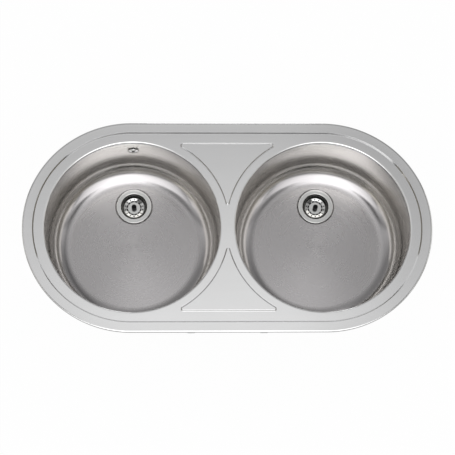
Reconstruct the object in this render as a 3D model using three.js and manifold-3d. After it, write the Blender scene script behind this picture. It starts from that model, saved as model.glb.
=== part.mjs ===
// Double bowl kitchen sink: an inset stainless steel sink with two round bowls, basket strainer
// wastes, one overflow and fold-out clamps that grip the worktop from below.
// Millimetres, +Z up. The origin is the middle of the sink on the worktop's surface, +X runs along
// the sink, -Y is the front edge and both wastes sit towards the rear, +Y.

import * as THREE from "three";
import { mergeVertices } from "three/addons/utils/BufferGeometryUtils.js";
import Module from "manifold-3d";

const wasm = await Module();
wasm.setup();

// ---------------------------------------------------------------- driving dimensions

// Pressed deck
const DECK_SHEET = 0.9;
const RIM_TOP = 5.5; // top of the raised rim band above the worktop
const DECK_TOP = 2.5; // top of the recessed deck inside the band
const EDGE_FOOT = 0.3; // gap between the turned-down edge and the worktop
const EDGE_ROUND = 2.5;
const BAND_WIDTH = 19.5;
const STEP_WIDTH = 3;
const DECK_MARGIN = 17.5; // from a bowl's mouth to the foot of the step
const BRIDGE_WIDTH = 25; // deck left between the two mouths
const END_SHIFT = 2.5; // from a bowl's centre out to the centre of the deck's round end

// Bowls
const BOWL_MOUTH_RADIUS = 182.5; // where the deck starts to roll down into the bowl
const BOWL_DEPTH = 160; // from the deck to the bowl floor
const BOWL_SHEET = 0.8;
const MOUTH_ROLL = 3;
const COLLAR_DEPTH = 6; // straight collar of the deck under the roll, down to the weld
const WALL_INSET = 2; // how much the wall closes in on its way down
const FLOOR_FILLET = 45;

// Raised panels between the bowls
const PANEL_RISE = 1;
const PANEL_SLOPE = 1.6;
const PANEL_MARGIN = 15; // from a bowl's mouth to the panel's curved side
const PANEL_FOOT_MARGIN = 21.5; // from the foot of the step to the panel's straight side
const PANEL_SHOULDER = 7.6; // height of the panel's ends beside its straight side
const PANEL_TIP_ROUND = 3.75;

// Wastes
const RECESS_MARGIN = 1.5; // flat floor left behind the recess
const RECESS_DEPTH = 2.2;
const RECESS_RADIUS = 39.3;
const RECESS_SLOPE = 1.7;
const WASTE_HOLE_RADIUS = 31;
const FLANGE_RADIUS = 38;
const FLANGE_THICKNESS = 1.8;
const FLANGE_GASKET_THICKNESS = 1;
const STRAINER_WALL = 1;
const STRAINER_BORE = 27.8; // inside radius of the strainer cup
const STRAINER_DEPTH = 19; // from the recess to the top of the strainer cup's floor
const GRID_HOLE_RADIUS = 5;
const GRID_PITCH_RADIUS = 17;
const GRID_HOLE_COUNT = 6;
const BODY_GASKET_THICKNESS = 3;
const BODY_GASKET_INSET = 1; // from the body's flange in to the gasket's edge
const BODY_BORE = 32;
const BODY_WALL = 2.5;
const BODY_FLANGE_WIDTH = 5.5;
const BODY_FLANGE_THICKNESS = 3;
const BODY_DEPTH = 34; // from the recess to the foot of the wide part of the waste body
const BODY_TAPER = 12;
const OUTLET_RADIUS = 23.9; // 1 1/2 inch pipe thread, 47.8 mm across
const OUTLET_BORE = 20;
const OUTLET_LENGTH = 28;
const BOSS_RADIUS = 7;
const RIB_DROP = 3.5; // from the strainer's cup down to the ribs
const RIB_THICKNESS = 2.5;
const RIB_COUNT = 3;
const WASTE_SCREW_RADIUS = 2.5;
const WASTE_SCREW_HEAD_RADIUS = 5.5;
const WASTE_SCREW_HEAD = 3;
const WASTE_SCREW_LENGTH = 14;

// Basket
const BASKET_RIM_RADIUS = 26.2;
const BASKET_SHEET = 0.8;
const BASKET_RIM_HEIGHT = 0.8; // rim above the recess
const BASKET_DEPTH = 10.4; // from the recess to the outer ring of the basket's floor
const BASKET_FLOOR_RADIUS = 15.8;
const BASKET_SHOULDER_RADIUS = 22.4;
const BASKET_SHOULDER_DEPTH = 3.2;
const BASKET_DISC_RADIUS = 12.8;
const BASKET_DISC_RISE = 0.8;
const BASKET_HOLE_RADIUS = 1.3;
const BASKET_HOLE_COUNT = 8;
const KNOB_RADIUS = 5.2;
const KNOB_EDGE = 1; // bevel round the knob's top
const KNOB_WAIST_RADIUS = 3.6;
const KNOB_WAIST_HEIGHT = 4.6;
const KNOB_CAP_HEIGHT = 6.9; // where the knob is wide again
const KNOB_HEIGHT = 11.5;
const STEM_RADIUS = 2.5;
const STEM_LENGTH = 4;
const PLUG_SEAL_RADIUS = 25.3;
const PLUG_SEAL_THICKNESS = 2;
const PLUG_SEAL_HUB_RADIUS = 10;
const PLUG_SEAL_HUB_WALL = 1; // above the space for the screw head
const PLUG_SEAL_CLEARANCE = 2; // round the screw head

// Overflow of the left bowl
const OVERFLOW_DROP = 45; // from the deck to the middle of the rose
const ROSE_RADIUS = 12;
const ROSE_THICKNESS = 1.4;
const ROSE_HOLE_RADIUS = 2.5;
const ROSE_PITCH_RADIUS = 7.8;
const ROSE_HOLE_COUNT = 6;
const OVERFLOW_HOLE_RADIUS = 11;
const OVERFLOW_GASKET_THICKNESS = 2.5;
const HOUSING_RADIUS = 15;
const HOUSING_WALL = 2;
const HOUSING_DEPTH = 22;
const SPIGOT_BORE = 6.5;
const SPIGOT_RADIUS = 8.5;
const HOUSING_SPIGOT_LENGTH = 30; // from the housing's middle down
const BODY_SPIGOT_LENGTH = 22; // from the waste body's wall
const HOSE_WALL = 2.2;
const HOSE_BEND = 42;
const HOSE_ON_SPIGOT = 13;
const HOSE_NUT_WALL = 2.2;
const HOSE_NUT_LENGTH = 11;
const OVERFLOW_SCREW_RADIUS = 1.8;
const OVERFLOW_SCREW_HEAD_RADIUS = 3.4;
const OVERFLOW_SCREW_HEAD = 1.4;
const OVERFLOW_SCREW_SHY = 1; // from the screw's end to the housing's back
const SCREW_BOSS_RADIUS = 4;
const SCREW_BOSS_LENGTH = 7;

// Rim seal and sound pads
const SEAL_WIDTH = 5.5;
const SEAL_INSET = 3.5; // from the sink's edge to the seal
const PAD_THICKNESS = 2.5;
const PAD_INSET = 14.5; // from the edge of the flat floor
const PAD_BITE_MARGIN = 12; // round the waste body's flange

// Clamps
const CLAMP_PIN_RADIUS_FROM_EDGE = 18.5; // from the sink's edge in to the pin
const CLAMP_PIN_DROP = 46; // from the worktop down to the pin
const CLAMP_WIDTH = 20;
const CLAMP_SHEET = 1.5;
const CLAMP_FOOT_LENGTH = 12;
const CLAMP_WEB_SETBACK = 5; // from the pin back to the hanging web
const EAR_HEIGHT = 12;
const EAR_REACH = 4; // past the pin
const PIN_RADIUS = 2;
const ARM_EYE_RADIUS = 4.5;
const ARM_THICKNESS = 2.5;
const ARM_LENGTH = 36;
const ARM_SCREW_DROP = 24; // from the pin to the screw
const CLAMP_SCREW_RADIUS = 2.5;
const CLAMP_SCREW_HEAD_RADIUS = 4.5;
const CLAMP_SCREW_HEAD = 3;
const CLAMP_SCREW_LENGTH = 20;
const CLAMP_SCREW_TIP = 3; // past the pin's line at rest
const CLAMP_ALONG = 75; // clamps on the straight sides, from the middle
const CLAMP_TURN = 40; // clamps on the round ends, degrees from the long axis

// Clearances
const GAP = 0.3; // between pieces that fit inside one another
const OVERLAP = 1; // how far joined shapes reach into each other
const THROUGH = 2; // how far a cutter passes a face

// Facets
const END_SEGMENTS = 20; // per round end
const BOWL_SEGMENTS = 36;
const WASTE_SEGMENTS = 20;
const SMALL_SEGMENTS = 12;
const HOLE_SEGMENTS = 6;
const FILLET_STEPS = 5;
const ROLL_STEPS = 2;
const PANEL_SIDE_STEPS = 7;
const TIP_STEPS = 3;
const BEND_STEPS = 6;

// ---------------------------------------------------------------- derived places

const BOWL_X = BOWL_MOUTH_RADIUS + BRIDGE_WIDTH / 2;
const STEP_FOOT_RADIUS = BOWL_MOUTH_RADIUS + DECK_MARGIN;
const STEP_TOP_RADIUS = STEP_FOOT_RADIUS + STEP_WIDTH;
const END_RADIUS = STEP_TOP_RADIUS + BAND_WIDTH;
const END_CENTRE = BOWL_X + END_SHIFT;
const SEAL_HEIGHT = RIM_TOP - DECK_SHEET;
const DECK_UNDER = DECK_TOP - DECK_SHEET;
const WALL_RADIUS = BOWL_MOUTH_RADIUS - MOUTH_ROLL;
const WELD_Z = DECK_TOP - MOUTH_ROLL - COLLAR_DEPTH;
const FLOOR_Z = DECK_TOP - BOWL_DEPTH;
const FILLET_Z = FLOOR_Z + FLOOR_FILLET;
const FOOT_RADIUS = WALL_RADIUS - WALL_INSET;
const FLAT_RADIUS = FOOT_RADIUS - FLOOR_FILLET;
const RECESS_Z = FLOOR_Z - RECESS_DEPTH;
const WASTE_OFFSET = FLAT_RADIUS - RECESS_MARGIN - RECESS_RADIUS - RECESS_SLOPE;
const PANEL_ARC = BOWL_MOUTH_RADIUS + PANEL_MARGIN;
const PANEL_FAR_EDGE = STEP_FOOT_RADIUS - PANEL_FOOT_MARGIN;
const PANEL_HALF_LENGTH = BOWL_X - Math.sqrt(PANEL_ARC ** 2 - (PANEL_FAR_EDGE - PANEL_SHOULDER) ** 2);
const BODY_RADIUS = BODY_BORE + BODY_WALL;
const BODY_FLANGE_RADIUS = BODY_RADIUS + BODY_FLANGE_WIDTH;
const HOSE_RADIUS = SPIGOT_RADIUS + GAP + HOSE_WALL;
const OVERFLOW_Z = DECK_TOP - OVERFLOW_DROP;
const SPIGOT_Z = RECESS_Z - STRAINER_DEPTH;

// ---------------------------------------------------------------- materials

function finish(color, roughness, metalness) {
  return new THREE.MeshStandardMaterial({ color, roughness, metalness });
}

const SATIN_STEEL = finish(0xb9b8b6, 0.35, 1);
const POLISHED_STEEL = finish(0xd2d1cf, 0.15, 1);
const ZINC_STEEL = finish(0xa9adb0, 0.45, 1);
const BLACK_RUBBER = finish(0x1c1c1d, 0.85, 0);
const DARK_PLASTIC = finish(0x151516, 0.4, 0);
const BODY_PLASTIC = finish(0x2b2c2e, 0.55, 0);
const FOAM = finish(0x3a3b3d, 0.95, 0);
const DAMPING_PAD = finish(0x4c4d4f, 0.9, 0);

// ---------------------------------------------------------------- shape helpers

function toSolid(geometry) {
  const bare = geometry.clone();
  bare.deleteAttribute("normal");
  bare.deleteAttribute("uv");
  const merged = mergeVertices(bare, 1e-4);
  return new wasm.Manifold(
    new wasm.Mesh({
      numProp: 3,
      vertProperties: new Float32Array(merged.attributes.position.array),
      triVerts: new Uint32Array(merged.index.array),
    }),
  );
}

function toGeometry(solid) {
  const mesh = solid.getMesh();
  const geometry = new THREE.BufferGeometry();
  geometry.setAttribute("position", new THREE.BufferAttribute(mesh.vertProperties, 3));
  geometry.setIndex(new THREE.BufferAttribute(mesh.triVerts, 1));
  geometry.computeVertexNormals();
  return geometry;
}

function join(...geometries) {
  return toGeometry(geometries.map(toSolid).reduce((whole, next) => whole.add(next)));
}

function cut(geometry, ...cutters) {
  return toGeometry(cutters.map(toSolid).reduce((whole, next) => whole.subtract(next), toSolid(geometry)));
}

function signedArea(points) {
  return points.reduce((sum, [x, y], i) => {
    const [nextX, nextY] = points[(i + 1) % points.length];
    return sum + (x * nextY - nextX * y) / 2;
  }, 0);
}

function anticlockwise(points) {
  return signedArea(points) < 0 ? [...points].reverse() : points;
}

// A closed outline of [radius, height] points turned about the Z axis.
function turned(outline, segments) {
  const points = anticlockwise(outline).map(([radius, height]) => new THREE.Vector2(radius, height));
  const onAxis = points.filter((point) => point.x === 0).length > 1;
  if (onAxis) {
    while (points[0].x !== 0 || points[points.length - 1].x !== 0) {
      points.push(points.shift());
    }
  } else {
    points.push(points[0].clone());
  }
  return new THREE.LatheGeometry(points, segments).rotateX(Math.PI / 2);
}

function cylinder(radius, low, high, segments) {
  return new THREE.CylinderGeometry(radius, radius, high - low, segments)
    .rotateX(Math.PI / 2)
    .translate(0, 0, (low + high) / 2);
}

// A cylinder along +Y that starts at y = from and ends at y = to.
function crossCylinder(radius, from, to, segments) {
  return new THREE.CylinderGeometry(radius, radius, to - from, segments).translate(0, (from + to) / 2, 0);
}

function block(x0, x1, y0, y1, z0, z1) {
  return new THREE.BoxGeometry(x1 - x0, y1 - y0, z1 - z0).translate(
    (x0 + x1) / 2,
    (y0 + y1) / 2,
    (z0 + z1) / 2,
  );
}

// The line of points moved sideways by the sheet's thickness, to its left.
function besideLine(points, thickness) {
  return points.map(([x, y], i) => {
    const before = points[Math.max(i - 1, 0)];
    const after = points[Math.min(i + 1, points.length - 1)];
    const into = new THREE.Vector2(x - before[0], y - before[1]).normalize();
    const out = new THREE.Vector2(after[0] - x, after[1] - y).normalize();
    if (into.length() === 0) {
      into.copy(out);
    }
    if (out.length() === 0) {
      out.copy(into);
    }
    const along = into.clone().add(out).normalize();
    const reach = thickness / Math.max(along.dot(out), 0.5);
    return [x - along.y * reach, y + along.x * reach];
  });
}

// The closed outline of a bent sheet whose outer face follows the points.
function sheetOutline(points, thickness) {
  return [...points, ...besideLine(points, thickness).reverse()];
}

// Points of an arc in a plane, angles in degrees.
function arc(centreX, centreY, radius, fromAngle, toAngle, steps) {
  return Array.from({ length: steps + 1 }, (_, i) => {
    const angle = THREE.MathUtils.degToRad(fromAngle + ((toAngle - fromAngle) * i) / steps);
    return [centreX + radius * Math.cos(angle), centreY + radius * Math.sin(angle)];
  });
}

// A closed outline of [radius, height] points carried round the stadium shape of the sink.
function swept(outline) {
  const section = anticlockwise(outline);
  const stations = [];
  for (const [centre, start] of [
    [END_CENTRE, -90],
    [-END_CENTRE, 90],
  ]) {
    for (let i = 0; i <= END_SEGMENTS; i++) {
      stations.push([centre, THREE.MathUtils.degToRad(start + (180 * i) / END_SEGMENTS)]);
    }
  }
  const positions = [];
  for (const [centre, angle] of stations) {
    for (const [radius, height] of section) {
      positions.push(centre + radius * Math.cos(angle), radius * Math.sin(angle), height);
    }
  }
  const index = [];
  const count = section.length;
  for (let i = 0; i < stations.length; i++) {
    const here = i * count;
    const there = ((i + 1) % stations.length) * count;
    for (let j = 0; j < count; j++) {
      const k = (j + 1) % count;
      index.push(here + j, there + k, here + k, here + j, there + j, there + k);
    }
  }
  const geometry = new THREE.BufferGeometry();
  geometry.setAttribute("position", new THREE.Float32BufferAttribute(positions, 3));
  geometry.setIndex(index);
  geometry.computeVertexNormals();
  return geometry;
}

function extruded(points, low, high) {
  const shape = new THREE.Shape(points.map(([x, y]) => new THREE.Vector2(x, y)));
  return new THREE.ExtrudeGeometry(shape, { depth: high - low, bevelEnabled: false }).translate(0, 0, low);
}

function stadium(radius) {
  return [
    ...arc(END_CENTRE, 0, radius, -90, 90, END_SEGMENTS),
    ...arc(-END_CENTRE, 0, radius, 90, 270, END_SEGMENTS),
  ];
}

const sink = new THREE.Group();

function place(name, geometry, material, parent = sink) {
  const mesh = new THREE.Mesh(geometry, material);
  mesh.name = name;
  parent.add(mesh);
  return mesh;
}

// ---------------------------------------------------------------- deck

// Turned-down edge, rim band and the step down to the deck, from outside to inside.
function rimLine() {
  const edge = arc(END_RADIUS - EDGE_ROUND, RIM_TOP - EDGE_ROUND, EDGE_ROUND, 0, 90, ROLL_STEPS);
  return [
    [END_RADIUS, EDGE_FOOT],
    ...edge,
    [STEP_TOP_RADIUS, RIM_TOP],
    [STEP_FOOT_RADIUS, DECK_TOP],
    [STEP_FOOT_RADIUS - OVERLAP * 2, DECK_TOP],
  ];
}

// The deck's sheet rolling down into a bowl, from outside to inside.
function collarLine() {
  const roll = arc(BOWL_MOUTH_RADIUS, DECK_TOP - MOUTH_ROLL, MOUTH_ROLL, 90, 180, ROLL_STEPS);
  return [[BOWL_MOUTH_RADIUS + OVERLAP * 2, DECK_TOP], ...roll, [WALL_RADIUS, WELD_Z]];
}

// Three-sided outline between the bowls, drawn for the rear. grow moves every side outwards.
function panelOutline(grow) {
  const side = PANEL_ARC - grow;
  const tipRound = PANEL_TIP_ROUND + grow;
  const tipY = Math.sqrt((side + tipRound) ** 2 - BOWL_X ** 2);
  const tipAngle = THREE.MathUtils.radToDeg(Math.atan2(tipY, BOWL_X));
  const halfLength = PANEL_HALF_LENGTH + grow;
  const sideEnd = THREE.MathUtils.radToDeg(Math.acos((BOWL_X - halfLength) / side));
  const farEdge = PANEL_FAR_EDGE + grow;
  return [
    ...arc(BOWL_X, 0, side, 180 - tipAngle, 180 - sideEnd, PANEL_SIDE_STEPS),
    [halfLength, farEdge],
    [-halfLength, farEdge],
    ...arc(-BOWL_X, 0, side, sideEnd, tipAngle, PANEL_SIDE_STEPS),
    ...arc(0, tipY, tipRound, tipAngle + 180, 360 - tipAngle, TIP_STEPS).slice(1, -1),
  ];
}

function buildDeck() {
  const rim = swept(sheetOutline(rimLine(), DECK_SHEET));
  const plate = extruded(stadium(STEP_FOOT_RADIUS - OVERLAP), DECK_UNDER, DECK_TOP);
  const rise = DECK_TOP + PANEL_RISE;
  let solid = toSolid(rim).add(toSolid(plate));
  for (const turn of [0, Math.PI]) {
    const raised = extruded(panelOutline(0), DECK_UNDER, rise);
    const hollow = extruded(panelOutline(-PANEL_SLOPE), DECK_UNDER - THROUGH, rise - DECK_SHEET);
    solid = solid.add(toSolid(raised.rotateZ(turn))).subtract(toSolid(hollow.rotateZ(turn)));
  }
  for (const x of [-BOWL_X, BOWL_X]) {
    const mouth = cylinder(BOWL_MOUTH_RADIUS + OVERLAP, WELD_Z, DECK_TOP + THROUGH, BOWL_SEGMENTS);
    const collar = turned(sheetOutline(collarLine(), DECK_SHEET), BOWL_SEGMENTS);
    solid = solid.subtract(toSolid(mouth.rotateZ(Math.PI / 2).translate(x, 0, 0)));
    solid = solid.add(toSolid(collar.translate(x, 0, 0)));
  }
  place("sink_deck", toGeometry(solid), SATIN_STEEL);
}

// ---------------------------------------------------------------- bowls

// Inner face of a bowl, from the weld to the middle of the floor.
function bowlLine() {
  const wallLean = THREE.MathUtils.radToDeg(Math.atan2(WALL_INSET, WELD_Z - FILLET_Z));
  const fillet = arc(FLAT_RADIUS, FILLET_Z, FLOOR_FILLET, -wallLean, -90, FILLET_STEPS);
  return [[WALL_RADIUS, WELD_Z], ...fillet];
}

function buildBowl(side, x, hasOverflow) {
  const inside = bowlLine();
  const outside = besideLine(inside, BOWL_SHEET);
  outside[0] = [WALL_RADIUS + BOWL_SHEET, WELD_Z];
  outside[outside.length - 1][1] = FLOOR_Z - BOWL_SHEET;
  const under = RECESS_Z - BOWL_SHEET;
  const shell = turned([[0, WELD_Z], ...outside, [0, FLOOR_Z - BOWL_SHEET]], BOWL_SEGMENTS);
  const space = turned(
    [[0, WELD_Z + THROUGH], [WALL_RADIUS, WELD_Z + THROUGH], ...inside, [0, FLOOR_Z]],
    BOWL_SEGMENTS,
  );
  const recess = turned(
    [
      [0, under],
      [RECESS_RADIUS + BOWL_SHEET, under],
      [RECESS_RADIUS + RECESS_SLOPE + BOWL_SHEET, FLOOR_Z - BOWL_SHEET / 2],
      [0, FLOOR_Z - BOWL_SHEET / 2],
    ],
    WASTE_SEGMENTS,
  ).translate(0, WASTE_OFFSET, 0);
  const recessSpace = turned(
    [
      [0, RECESS_Z],
      [RECESS_RADIUS, RECESS_Z],
      [RECESS_RADIUS + RECESS_SLOPE, FLOOR_Z],
      [RECESS_RADIUS + RECESS_SLOPE, FLOOR_Z + THROUGH],
      [0, FLOOR_Z + THROUGH],
    ],
    WASTE_SEGMENTS,
  ).translate(0, WASTE_OFFSET, 0);
  const hole = cylinder(WASTE_HOLE_RADIUS, under - THROUGH, FLOOR_Z, WASTE_SEGMENTS);
  const cutters = [space, recessSpace, hole.translate(0, WASTE_OFFSET, 0)];
  if (hasOverflow) {
    const reach = WALL_RADIUS + OVERFLOW_HOLE_RADIUS;
    const overflow = crossCylinder(OVERFLOW_HOLE_RADIUS, 0, reach, SMALL_SEGMENTS);
    cutters.push(overflow.translate(0, 0, OVERFLOW_Z));
  }
  place(`${side}_bowl`, cut(join(shell, recess), ...cutters).translate(x, 0, 0), SATIN_STEEL);
}

function buildSoundPad(side, x) {
  const top = FLOOR_Z - BOWL_SHEET;
  const foot = top - PAD_THICKNESS;
  const biteRadius = BODY_FLANGE_RADIUS + PAD_BITE_MARGIN;
  const pad = cylinder(FLAT_RADIUS - PAD_INSET, foot, top, BOWL_SEGMENTS);
  const bite = cylinder(biteRadius, foot - THROUGH, top + THROUGH, WASTE_SEGMENTS);
  place(`${side}_sound_pad`, cut(pad, bite.translate(0, WASTE_OFFSET, 0)).translate(x, 0, 0), DAMPING_PAD);
}

// ---------------------------------------------------------------- wastes

function ringOfHoles(count, pitch, radius, low, high) {
  return Array.from({ length: count }, (_, i) =>
    cylinder(radius, low, high, HOLE_SEGMENTS)
      .translate(pitch, 0, 0)
      .rotateZ((2 * Math.PI * i) / count),
  );
}

// Heights in a waste are measured from the recess in the bowl's floor.
function buildWaste(side, x, hasOverflow) {
  const waste = new THREE.Group();
  waste.position.set(x, WASTE_OFFSET, RECESS_Z);
  sink.add(waste);

  const flangeTop = FLANGE_GASKET_THICKNESS + FLANGE_THICKNESS;
  const cupOuter = STRAINER_BORE + STRAINER_WALL;
  const cupFloor = -STRAINER_DEPTH;
  const cupUnder = cupFloor - STRAINER_WALL;
  const screwHole = WASTE_SCREW_RADIUS + GAP;
  const strainer = turned(
    [
      [FLANGE_RADIUS, FLANGE_GASKET_THICKNESS],
      [FLANGE_RADIUS, FLANGE_GASKET_THICKNESS + FLANGE_THICKNESS / 2],
      [FLANGE_RADIUS - FLANGE_THICKNESS, flangeTop],
      [STRAINER_BORE + FLANGE_THICKNESS, flangeTop],
      [STRAINER_BORE, flangeTop - FLANGE_THICKNESS],
      [STRAINER_BORE, cupFloor],
      [screwHole, cupFloor],
      [screwHole, cupUnder],
      [cupOuter, cupUnder],
      [cupOuter, FLANGE_GASKET_THICKNESS],
    ],
    WASTE_SEGMENTS,
  );
  const grid = ringOfHoles(
    GRID_HOLE_COUNT,
    GRID_PITCH_RADIUS,
    GRID_HOLE_RADIUS,
    cupUnder - THROUGH,
    cupFloor + THROUGH,
  );
  place(`${side}_strainer_flange`, cut(strainer, ...grid), POLISHED_STEEL, waste);

  const ring = (inner, outer, low, high, segments) =>
    turned(
      [
        [inner, low],
        [outer, low],
        [outer, high],
        [inner, high],
      ],
      segments,
    );
  const flangeGasket = ring(
    WASTE_HOLE_RADIUS + GAP,
    FLANGE_RADIUS - GAP,
    0,
    FLANGE_GASKET_THICKNESS,
    WASTE_SEGMENTS,
  );
  place(`${side}_flange_gasket`, flangeGasket, BLACK_RUBBER, waste);

  const gasketTop = -BOWL_SHEET;
  const bodyTop = gasketTop - BODY_GASKET_THICKNESS;
  const bodyGasket = ring(
    BODY_BORE,
    BODY_FLANGE_RADIUS - BODY_GASKET_INSET,
    bodyTop,
    gasketTop,
    WASTE_SEGMENTS,
  );
  place(`${side}_body_gasket`, bodyGasket, BLACK_RUBBER, waste);

  const outletTop = -BODY_DEPTH - BODY_TAPER;
  const outletFoot = outletTop - OUTLET_LENGTH;
  const shell = turned(
    [
      [BODY_BORE, bodyTop],
      [BODY_FLANGE_RADIUS, bodyTop],
      [BODY_FLANGE_RADIUS, bodyTop - BODY_FLANGE_THICKNESS],
      [BODY_RADIUS, bodyTop - BODY_FLANGE_THICKNESS],
      [BODY_RADIUS, -BODY_DEPTH],
      [OUTLET_RADIUS, outletTop],
      [OUTLET_RADIUS, outletFoot],
      [OUTLET_BORE, outletFoot],
      [OUTLET_BORE, outletTop],
      [BODY_BORE, -BODY_DEPTH],
    ],
    WASTE_SEGMENTS,
  );
  const boss = cylinder(BOSS_RADIUS, -BODY_DEPTH, cupUnder, SMALL_SEGMENTS);
  const ribTop = cupUnder - RIB_DROP;
  const ribs = Array.from({ length: RIB_COUNT }, (_, i) =>
    block(0, BODY_BORE + BODY_WALL / 2, -RIB_THICKNESS / 2, RIB_THICKNESS / 2, -BODY_DEPTH, ribTop).rotateZ(
      (2 * Math.PI * (i + 0.25)) / RIB_COUNT,
    ),
  );
  const bossHole = cylinder(screwHole, -BODY_DEPTH - THROUGH, cupUnder + THROUGH, SMALL_SEGMENTS);
  let body = join(shell, boss, ...ribs);
  if (hasOverflow) {
    const start = BODY_BORE + BODY_WALL / 2;
    const end = BODY_RADIUS + BODY_SPIGOT_LENGTH;
    const spigot = crossCylinder(SPIGOT_RADIUS, start, end, SMALL_SEGMENTS).translate(0, 0, cupFloor);
    const bore = crossCylinder(SPIGOT_BORE, start - THROUGH, end + THROUGH, SMALL_SEGMENTS);
    body = cut(join(body, spigot), bore.translate(0, 0, cupFloor));
  }
  place(`${side}_waste_body`, cut(body, bossHole), BODY_PLASTIC, waste);

  const screw = turned(
    [
      [0, cupFloor + WASTE_SCREW_HEAD],
      [WASTE_SCREW_HEAD_RADIUS, cupFloor + WASTE_SCREW_HEAD],
      [WASTE_SCREW_HEAD_RADIUS, cupFloor],
      [WASTE_SCREW_RADIUS, cupFloor],
      [WASTE_SCREW_RADIUS, cupFloor - WASTE_SCREW_LENGTH],
      [0, cupFloor - WASTE_SCREW_LENGTH],
    ],
    SMALL_SEGMENTS,
  );
  place(`${side}_waste_screw`, screw, POLISHED_STEEL, waste);

  buildBasket(side, waste, cupFloor);
}

// The lift-out strainer basket: a perforated dish, its knob and the rubber plug under it.
function buildBasket(side, waste, cupFloor) {
  const stemHole = STEM_RADIUS + GAP;
  const discTop = -BASKET_DEPTH + BASKET_DISC_RISE;
  const discUnder = discTop - BASKET_SHEET;
  const dishTop = [
    [BASKET_RIM_RADIUS, BASKET_RIM_HEIGHT],
    [BASKET_RIM_RADIUS - BASKET_SHEET * 2, BASKET_RIM_HEIGHT],
    [BASKET_SHOULDER_RADIUS, -BASKET_SHOULDER_DEPTH],
    [BASKET_FLOOR_RADIUS, -BASKET_DEPTH],
    [BASKET_DISC_RADIUS + BASKET_DISC_RISE, -BASKET_DEPTH],
    [BASKET_DISC_RADIUS, discTop],
    [stemHole, discTop],
  ];
  const dishUnder = besideLine(dishTop, BASKET_SHEET);
  dishUnder[dishUnder.length - 1] = [stemHole, discUnder];
  dishUnder[dishUnder.length - 2][1] = discUnder;
  const dish = turned([...dishTop, ...dishUnder.reverse()], WASTE_SEGMENTS);
  const holePitch = (BASKET_FLOOR_RADIUS + BASKET_SHOULDER_RADIUS) / 2;
  const holes = ringOfHoles(
    BASKET_HOLE_COUNT,
    holePitch,
    BASKET_HOLE_RADIUS,
    -BASKET_DEPTH - THROUGH,
    BASKET_RIM_HEIGHT,
  );
  place(`${side}_basket`, cut(dish, ...holes), POLISHED_STEEL, waste);

  const knob = turned(
    [
      [0, discTop + KNOB_HEIGHT],
      [KNOB_RADIUS - KNOB_EDGE, discTop + KNOB_HEIGHT],
      [KNOB_RADIUS, discTop + KNOB_HEIGHT - KNOB_EDGE],
      [KNOB_RADIUS, discTop + KNOB_CAP_HEIGHT],
      [KNOB_WAIST_RADIUS, discTop + KNOB_WAIST_HEIGHT],
      [KNOB_RADIUS, discTop],
      [STEM_RADIUS, discTop],
      [STEM_RADIUS, discUnder - STEM_LENGTH],
      [0, discUnder - STEM_LENGTH],
    ],
    SMALL_SEGMENTS,
  );
  place(`${side}_basket_knob`, knob, DARK_PLASTIC, waste);

  const recessRadius = WASTE_SCREW_HEAD_RADIUS + PLUG_SEAL_CLEARANCE;
  const recessTop = cupFloor + WASTE_SCREW_HEAD + PLUG_SEAL_CLEARANCE / 2;
  const plug = turned(
    [
      [recessRadius, cupFloor],
      [PLUG_SEAL_RADIUS, cupFloor],
      [PLUG_SEAL_RADIUS, cupFloor + PLUG_SEAL_THICKNESS],
      [PLUG_SEAL_HUB_RADIUS, recessTop + PLUG_SEAL_HUB_WALL],
      [PLUG_SEAL_HUB_RADIUS, discUnder],
      [stemHole, discUnder],
      [stemHole, recessTop],
      [recessRadius, recessTop],
    ],
    WASTE_SEGMENTS,
  );
  place(`${side}_plug_seal`, plug, BLACK_RUBBER, waste);
}

// ---------------------------------------------------------------- overflow

// Inside radius of a bowl's wall at a height above its floor fillet.
function wallRadiusAt(z) {
  return WALL_RADIUS - (WALL_INSET * (WELD_Z - z)) / (WELD_Z - FILLET_Z);
}

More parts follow.
